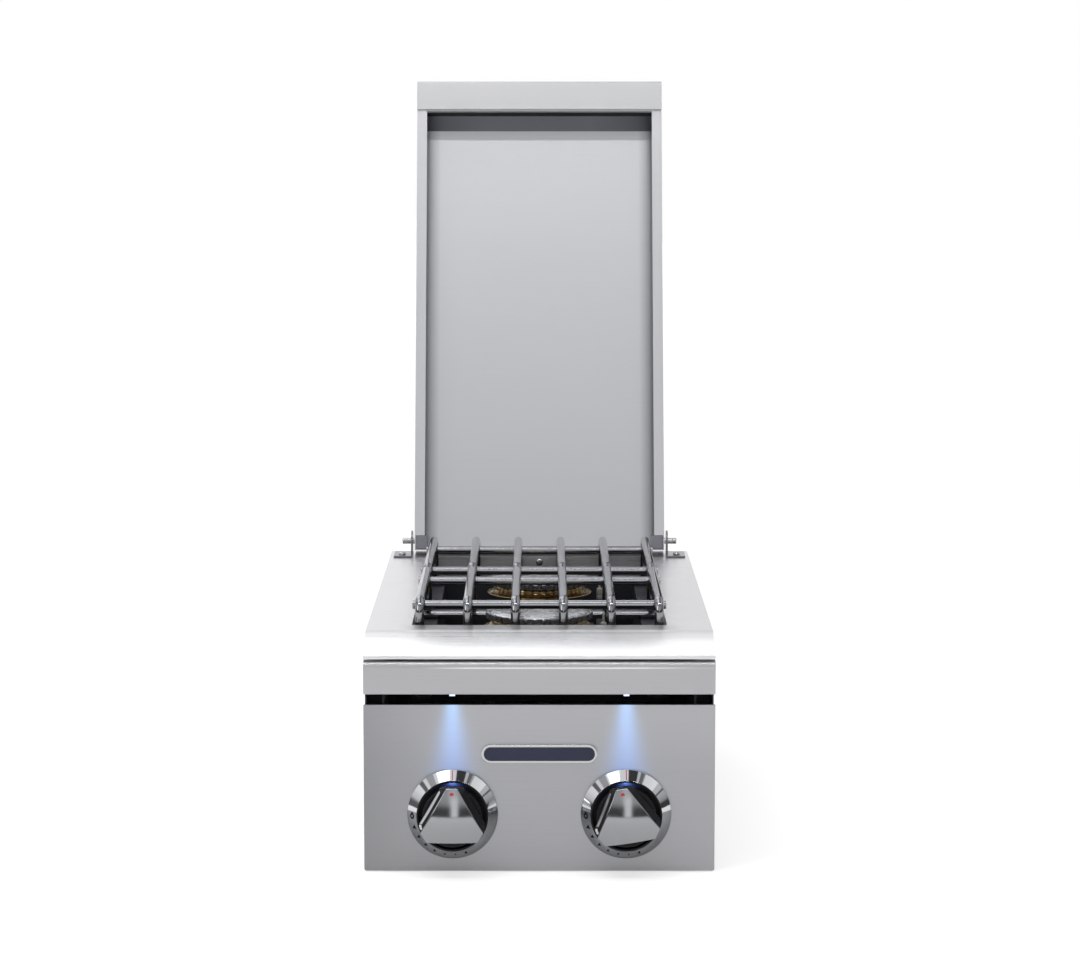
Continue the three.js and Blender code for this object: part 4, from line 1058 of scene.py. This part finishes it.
def grip_rings(shape, front, back):
    """Rings of points for the sides, the rounded edge and the crowned face, from the back to the middle."""
    outline = between(eased(GRIP, 1.1, closed=True, steps=5), 1.5)
    heart = sum(outline, Vector((0, 0))) / len(outline)
    rings = []

    def inset_by(inset):
        return [heart + (point - heart) * max(0.0, 1 - inset / (point - heart).length) for point in outline]

    def lay(flats, depths):
        places = [Vector((flat.x, depth, flat.y)) * MM for flat, depth in zip(flats, depths)]
        rings.append([shape.verts.new(place) for place in places])

    def lay_on_crown(flats, behind=0):
        lay(flats, [front + crown(flat) + behind for flat in flats])

    for inset, ahead in ((EDGE_ROUND, 0), (0.3, 0.8), (0, 1.6)):
        lay(inset_by(inset), [back - ahead] * len(outline))
    for k in range(5):
        bend_angle = math.pi / 2 * k / 4
        flats = inset_by(EDGE_ROUND * (1 - math.cos(bend_angle)))
        lay_on_crown(flats, EDGE_ROUND * (1 - math.sin(bend_angle)))
    lay_on_crown(inset_by(EDGE_ROUND + 0.35))
    for share in (0.05, 0.12, 0.24, 0.36, 0.48, 0.6, 0.72, 0.84, 0.93):
        lay_on_crown([heart + (point - heart) * (1 - share) * 0.95 for point in outline])
    return rings


def ridge_rings(shape, back):
    wide = []
    for x, z in GRIP:
        reach = RIDGE_REACH + (GRIP[0][1] - RIDGE_TOP if z > 30 else 0) * 0.58
        wide.append((x + math.copysign(reach, x), min(z, RIDGE_TOP)))
    outline = between(eased(wide, 2.2, closed=True, steps=5), 1.5)
    rings = []
    for inset, depth in RIDGE_LEVELS:
        spots = [point.normalized() * (min(point.length, RIDGE_RADIUS) - inset) for point in outline]
        rings.append([shape.verts.new(Vector((spot.x, back + depth, spot.y)) * MM) for spot in spots])
    return rings


def knob_skirt(node, back):
    outline = [(0, SKIRT_TOP), (SKIRT_RADIUS - 1, SKIRT_TOP), (SKIRT_RADIUS, SKIRT_TOP - 1),
               (SKIRT_RADIUS, -9.2), (SKIRT_RADIUS - 0.8, -10), (0, -10)]
    return turned(node + "_skirt", outline, (0, back, 0), "front", black_mould, closed=False)


def knob(side, rest_turn):
    node = side + "_knob"
    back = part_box(node)[1].y - KNOB_GAP
    front = back - GRIP_DEPTH * MM
    shape = bmesh.new()
    grip = grip_rings(shape, front / MM, back / MM)
    skin(shape, grip)
    ridge = ridge_rings(shape, back / MM)
    first_of_ridge, around = len(shape.faces), len(ridge[0])
    skin(shape, ridge)
    flank = range(first_of_ridge + 3 * around, first_of_ridge + 5 * around)
    painted_highlight_faces = set()
    for index, face in enumerate(shape.faces):
        place = face.calc_center_median() / MM
        if index in flank and place.x < -4 and -9.5 < place.z < 28:
            painted_highlight_faces.add(index)
    bmesh.ops.recalc_face_normals(shape, faces=shape.faces)
    skirt = knob_skirt(node, back)
    shape.from_mesh(skirt.data)
    bpy.data.objects.remove(skirt)
    bezel_middle = middle(side + "_bezel")
    spin = Matrix.Rotation(-math.radians(rest_turn), 4, "Y")
    turn = Matrix.Translation((bezel_middle.x, 0, bezel_middle.z)) @ spin
    bmesh.ops.transform(shape, matrix=turn, verts=shape.verts)
    mesh = bpy.data.meshes.new(node)
    shape.to_mesh(mesh)
    shape.free()
    piece = new_object(node + "_dressed", mesh, knob_satin)
    piece.data.materials.append(black_mould)
    piece.data.materials.append(bezel_chrome)
    # The sides and ridge are black as painted shade, the skirt is black too, and a strip of the ridge's left
    # flank is chrome as a painted highlight.
    for index, face in enumerate(piece.data.polygons):
        if index in painted_highlight_faces:
            face.material_index = 2
        elif index < 3 * len(grip[0]) or index >= first_of_ridge:
            face.material_index = 1
    shade_by_angle(piece, 30)
    return stand_for(piece, node)


def knob_dot(node):
    low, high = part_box(node)
    centre = (middle(node).x, high.y, middle(node).z)
    deep = (high.y - low.y) / MM
    outline = [(0, 0), (2.0, 0), (2.0, deep - 0.3), (1.4, deep), (0, deep)]
    dot = turned(node + "_dressed", outline, centre, "front", red_enamel, closed=False, steps=32)
    return stand_for(dot, node)


for side, rest_turn in (("left", 0), ("right", 9)):
    print(side, "knob faces:", len(knob(side, rest_turn).data.polygons))
    knob_dot(side + "_knob_dot")

# %% [markdown]
# Pan head screws hold the hinge feet and the back wall. One function makes them all: it turns the head and
# the shank on the lathe, facing up or to the front, and cuts a cross of two slots into the head.

# %% Screws
HEAD = 2.4
SLOT_LONG, SLOT_WIDE, SLOT_DEEP, SLOT_LIFT = 4.6 * MM, 0.8 * MM, 1.6 * MM, 2.6 * MM


def slot_cutter(seat, facing, degrees):
    if facing == "up":
        axis, size, lift = "Z", (SLOT_LONG, SLOT_WIDE, SLOT_DEEP, 1), (0, 0, SLOT_LIFT)
    else:
        axis, size, lift = "Y", (SLOT_LONG, SLOT_DEEP, SLOT_WIDE, 1), (0, -SLOT_LIFT, 0)
    box = bmesh.new()
    bmesh.ops.create_cube(box, size=1)
    block = mesh_from(box, "slot")
    spin = Matrix.Rotation(math.radians(degrees), 4, axis)
    block.transform(Matrix.Translation(Vector(seat) + Vector(lift)) @ spin @ Matrix.Diagonal(size))
    cutter = bpy.data.objects.new("slot", block)
    bpy.context.scene.collection.objects.link(cutter)
    return cutter


def screw_head(node, facing):
    low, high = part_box(node)
    centre = middle(node)
    if facing == "up":
        seat, length = (centre.x, centre.y, high.z - HEAD * MM), (high.z - low.z) / MM
    else:
        seat, length = (centre.x, low.y + HEAD * MM, centre.z), (high.y - low.y) / MM
    tip = HEAD - length
    outline = [(0, tip), (1.6, tip), (2, tip + 0.5), (2, 0), (4, 0), (4, 0.7), (3.5, 1.6), (2.4, 2.25),
               (0, HEAD)]
    profile = eased(outline, 0.25, steps=2)
    screw = turned(node + "_dressed", profile, seat, facing, hardware_steel, closed=False, steps=40)
    cutters = [slot_cutter(seat, facing, degrees) for degrees in (35, 125)]
    for cutter in cutters:
        recess = screw.modifiers.new("recess", "BOOLEAN")
        recess.operation = "DIFFERENCE"
        recess.solver = "EXACT"
        recess.object = cutter
    baked(screw)
    for cutter in cutters:
        bpy.data.objects.remove(cutter)
    shade_by_angle(screw, 32)
    return stand_for(screw, node)


for node, facing in (("left_foot_screw", "up"), ("right_foot_screw", "up"), ("rear_wall_screw", "front")):
    print(node, "faces:", len(screw_head(node, facing).data.polygons))

# %% [markdown]
# The studio is plain: a pale floor that keeps the burner's shadow, a white room, and soft lamps. The camera
# and glass see the room as white. Bare steel shows whatever it mirrors, so for glossy rays the room behind
# the camera falls off to grey near the horizon, as a real studio does, and the side walls have dark gaps
# between their soft boxes. That is what gives the panel its mid grey and the chrome its streaks.

# %% Floor and room
FLOOR_REACH, FLOOR_LEVEL = 14, -0.001


def seen_directly(tree):
    path = tree.nodes.new("ShaderNodeLightPath")
    return combine(tree, "MAXIMUM", path.outputs["Is Camera Ray"], path.outputs["Is Transmission Ray"])


def mirror_rays(tree):
    return tree.nodes.new("ShaderNodeLightPath").outputs["Is Glossy Ray"]


floor_mesh = bpy.data.meshes.new("studio_floor")
corner_ways = ((-1, -1), (1, -1), (1, 1), (-1, 1))
floor_corners = [(x * FLOOR_REACH, y * FLOOR_REACH, FLOOR_LEVEL) for x, y in corner_ways]
floor_mesh.from_pydata(floor_corners, [], [(0, 1, 2, 3)])
floor_finish = bpy.data.materials.new("studio_floor")
floor_finish.use_nodes = True
floor_tree = floor_finish.node_tree
floor_tree.nodes.remove(floor_tree.nodes["Principled BSDF"])
floor_place = place_parts(floor_tree)
squares = [times(floor_tree, floor_place[axis], floor_place[axis]) for axis in ("X", "Y")]
from_burner = combine(floor_tree, "POWER", plus(floor_tree, *squares), 0.5)
# For mirror rays the floor glows less near the burner: a painted shade in reflections.
mirrored_glow_with_painted_shade = times(floor_tree, mirror_rays(floor_tree), remap(floor_tree, from_burner, 0.35, 1.4, 0.3, 0.7))
glow = combine(floor_tree, "MAXIMUM", seen_directly(floor_tree), mirrored_glow_with_painted_shade)
glow_far = remap(floor_tree, from_burner, 3, 9, 0.5, 0.65)
floor_paint = add_node(floor_tree, "ShaderNodeBsdfDiffuse", Color=(0.78, 0.78, 0.78, 1))
floor_glow = add_node(floor_tree, "ShaderNodeEmission", Color=(1, 1, 1, 1),
                      Strength=times(floor_tree, glow, glow_far))
floor_sum = floor_tree.nodes.new("ShaderNodeAddShader")
wire(floor_tree, floor_paint.outputs[0], floor_sum.inputs[0])
wire(floor_tree, floor_glow.outputs[0], floor_sum.inputs[1])
wire(floor_tree, floor_sum.outputs[0], floor_tree.nodes["Material Output"].inputs["Surface"])
new_object("studio_floor", floor_mesh, floor_finish)


def ramp(tree, value, stops):
    node = tree.nodes.new("ShaderNodeValToRGB")
    elements = node.color_ramp.elements
    while len(elements) < len(stops):
        elements.new(0.5)
    for element, (place, level) in zip(elements, stops):
        element.position = place
        element.color = (level, level, level * 1.01, 1)
    wire(tree, value, node.inputs["Fac"])
    return node.outputs["Color"]


room = bpy.data.worlds.new("studio_room")
bpy.context.scene.world = room
room.use_nodes = True
room_tree = room.node_tree
generated = room_tree.nodes.new("ShaderNodeTexCoord").outputs["Generated"]
look = add_node(room_tree, "ShaderNodeSeparateXYZ", Vector=generated).outputs
height = combine(room_tree, "MULTIPLY_ADD", look["Z"], 0.5, 0.5)
across = combine(room_tree, "MULTIPLY_ADD", look["X"], 0.5, 0.5)
front_wall = ramp(room_tree, height, [
    (0.0, 0.5), (0.495, 0.5), (0.505, 0.1), (0.58, 0.16), (0.64, 0.78), (0.70, 0.9), (0.80, 0.84),
    (0.88, 0.55), (0.96, 0.5), (1.0, 0.8)])
back_wall = ramp(room_tree, height, [
    (0.0, 0.7), (0.49, 0.9), (0.5, 1.0), (0.66, 1.0), (0.74, 1.6), (0.9, 1.75), (1.0, 0.8)])
soft_boxes = ramp(room_tree, across, [
    (0.0, 0.2), (0.006, 0.2), (0.010, 0.8), (0.075, 0.75), (0.0785, 0.12), (0.112, 0.12), (0.115, 0.75),
    (0.148, 0.75), (0.151, 0.38), (0.23, 0.45), (0.234, 1.0), (0.542, 1.0), (0.55, 0.06), (0.672, 0.06),
    (0.676, 0.8), (0.71, 0.8), (0.715, 0.2), (0.757, 0.2), (0.765, 0.5), (0.95, 0.47), (0.953, 0.1),
    (0.96, 0.1), (0.963, 0.5), (0.992, 0.45), (0.995, 0.08), (1.0, 0.08)])
from_front = size_of(room_tree, look["X"])
narrow_box = ramp(room_tree, from_front, [(0.0, 1.0), (0.06, 1.0), (0.11, 0.7), (1.0, 0.7)])
frontness = remap(room_tree, look["Y"], -0.35, 0.35, 1, 0)
beside = remap(room_tree, look["Y"], -0.8, -0.45, 0, 1)
walls = blend_colours(room_tree, frontness, back_wall, front_wall)
gaps_between = blend_colours(room_tree, beside, narrow_box, soft_boxes)
mirrored_room = blend_colours(room_tree, 1.0, walls, gaps_between, how="MULTIPLY")
from_strip = size_of(room_tree, combine(room_tree, "SUBTRACT", look["X"], 0.03))
strip_across = ramp(room_tree, from_strip, [(0.0, 1.0), (0.04, 1.0), (0.10, 0.0)])
strip_height = ramp(room_tree, height, [(0.5, 0.0), (0.505, 1.0), (0.67, 1.0), (0.72, 0.0)])
in_strip = times(room_tree, strip_across, strip_height, combine(room_tree, "SUBTRACT", 1.0, beside))
with_strip = blend_colours(room_tree, in_strip, mirrored_room, (1.25, 1.25, 1.26))
by_gloss = blend_colours(room_tree, mirror_rays(room_tree), (0.6, 0.6, 0.605), with_strip)
by_eye = blend_colours(room_tree, seen_directly(room_tree), by_gloss, (1, 1, 1))
wire(room_tree, by_eye, room_tree.nodes["Background"].inputs["Color"])
print("room nodes:", len(room_tree.nodes))

# %% [markdown]
# Two soft ceiling lamps with a gap between them and a window lamp are weak, because the room itself is
# bright. A long thin tube lamp draws the bright lines on the rods. A tiny blue lamp in each well stands for
# the light that the panel lamp throws over the top of the bezel.

# %% Lamps
def hang(name, light, place, aim):
    """Hangs the light at its place, turned to its aim."""
    lamp = bpy.data.objects.new(name, light)
    lamp.location = place
    lamp.rotation_euler = (Vector(aim) - Vector(place)).to_track_quat("-Z", "Y").to_euler()
    bpy.context.scene.collection.objects.link(lamp)
    return lamp


def soft_lamp(name, place, aim, size, power):
    sheet = bpy.data.lights.new(name, "AREA")
    sheet.shape = "RECTANGLE"
    sheet.size, sheet.size_y = size
    sheet.energy = power
    hang(name, sheet, place, aim).visible_camera = False


soft_lamp("left_ceiling_lamp", (-0.8, -0.3, 3.0), (0, 0.1, 0.2), (1.1, 1.6), 8)
soft_lamp("right_ceiling_lamp", (3.0, -0.3, 3.0), (0, 0.1, 0.2), (2.2, 1.6), 4)
soft_lamp("tube_lamp", (0, -1.25, 2.5), (0, 0, 0.2), (3.0, 0.1), 13)
soft_lamp("window_lamp", (-2.6, -2.2, 1.8), (0, 0, 0.25), (1.4, 1.8), 18)


def blue_light(name, place, aim):
    spot = bpy.data.lights.new(name, "SPOT")
    spot.color = (0.16, 0.3, 1.0)
    spot.energy = 0.06
    spot.spot_size = math.radians(120)
    spot.spot_blend = 0.9
    spot.shadow_soft_size = 0.6 * MM
    hang(name, spot, place, aim)


for side in ("left", "right"):
    well = middle(side + "_bezel")
    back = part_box(side + "_bezel")[1].y
    blue_light(side + "_well_light", (well.x, back - 0.012, well.z + 0.0305), (well.x, back, well.z + 0.026))
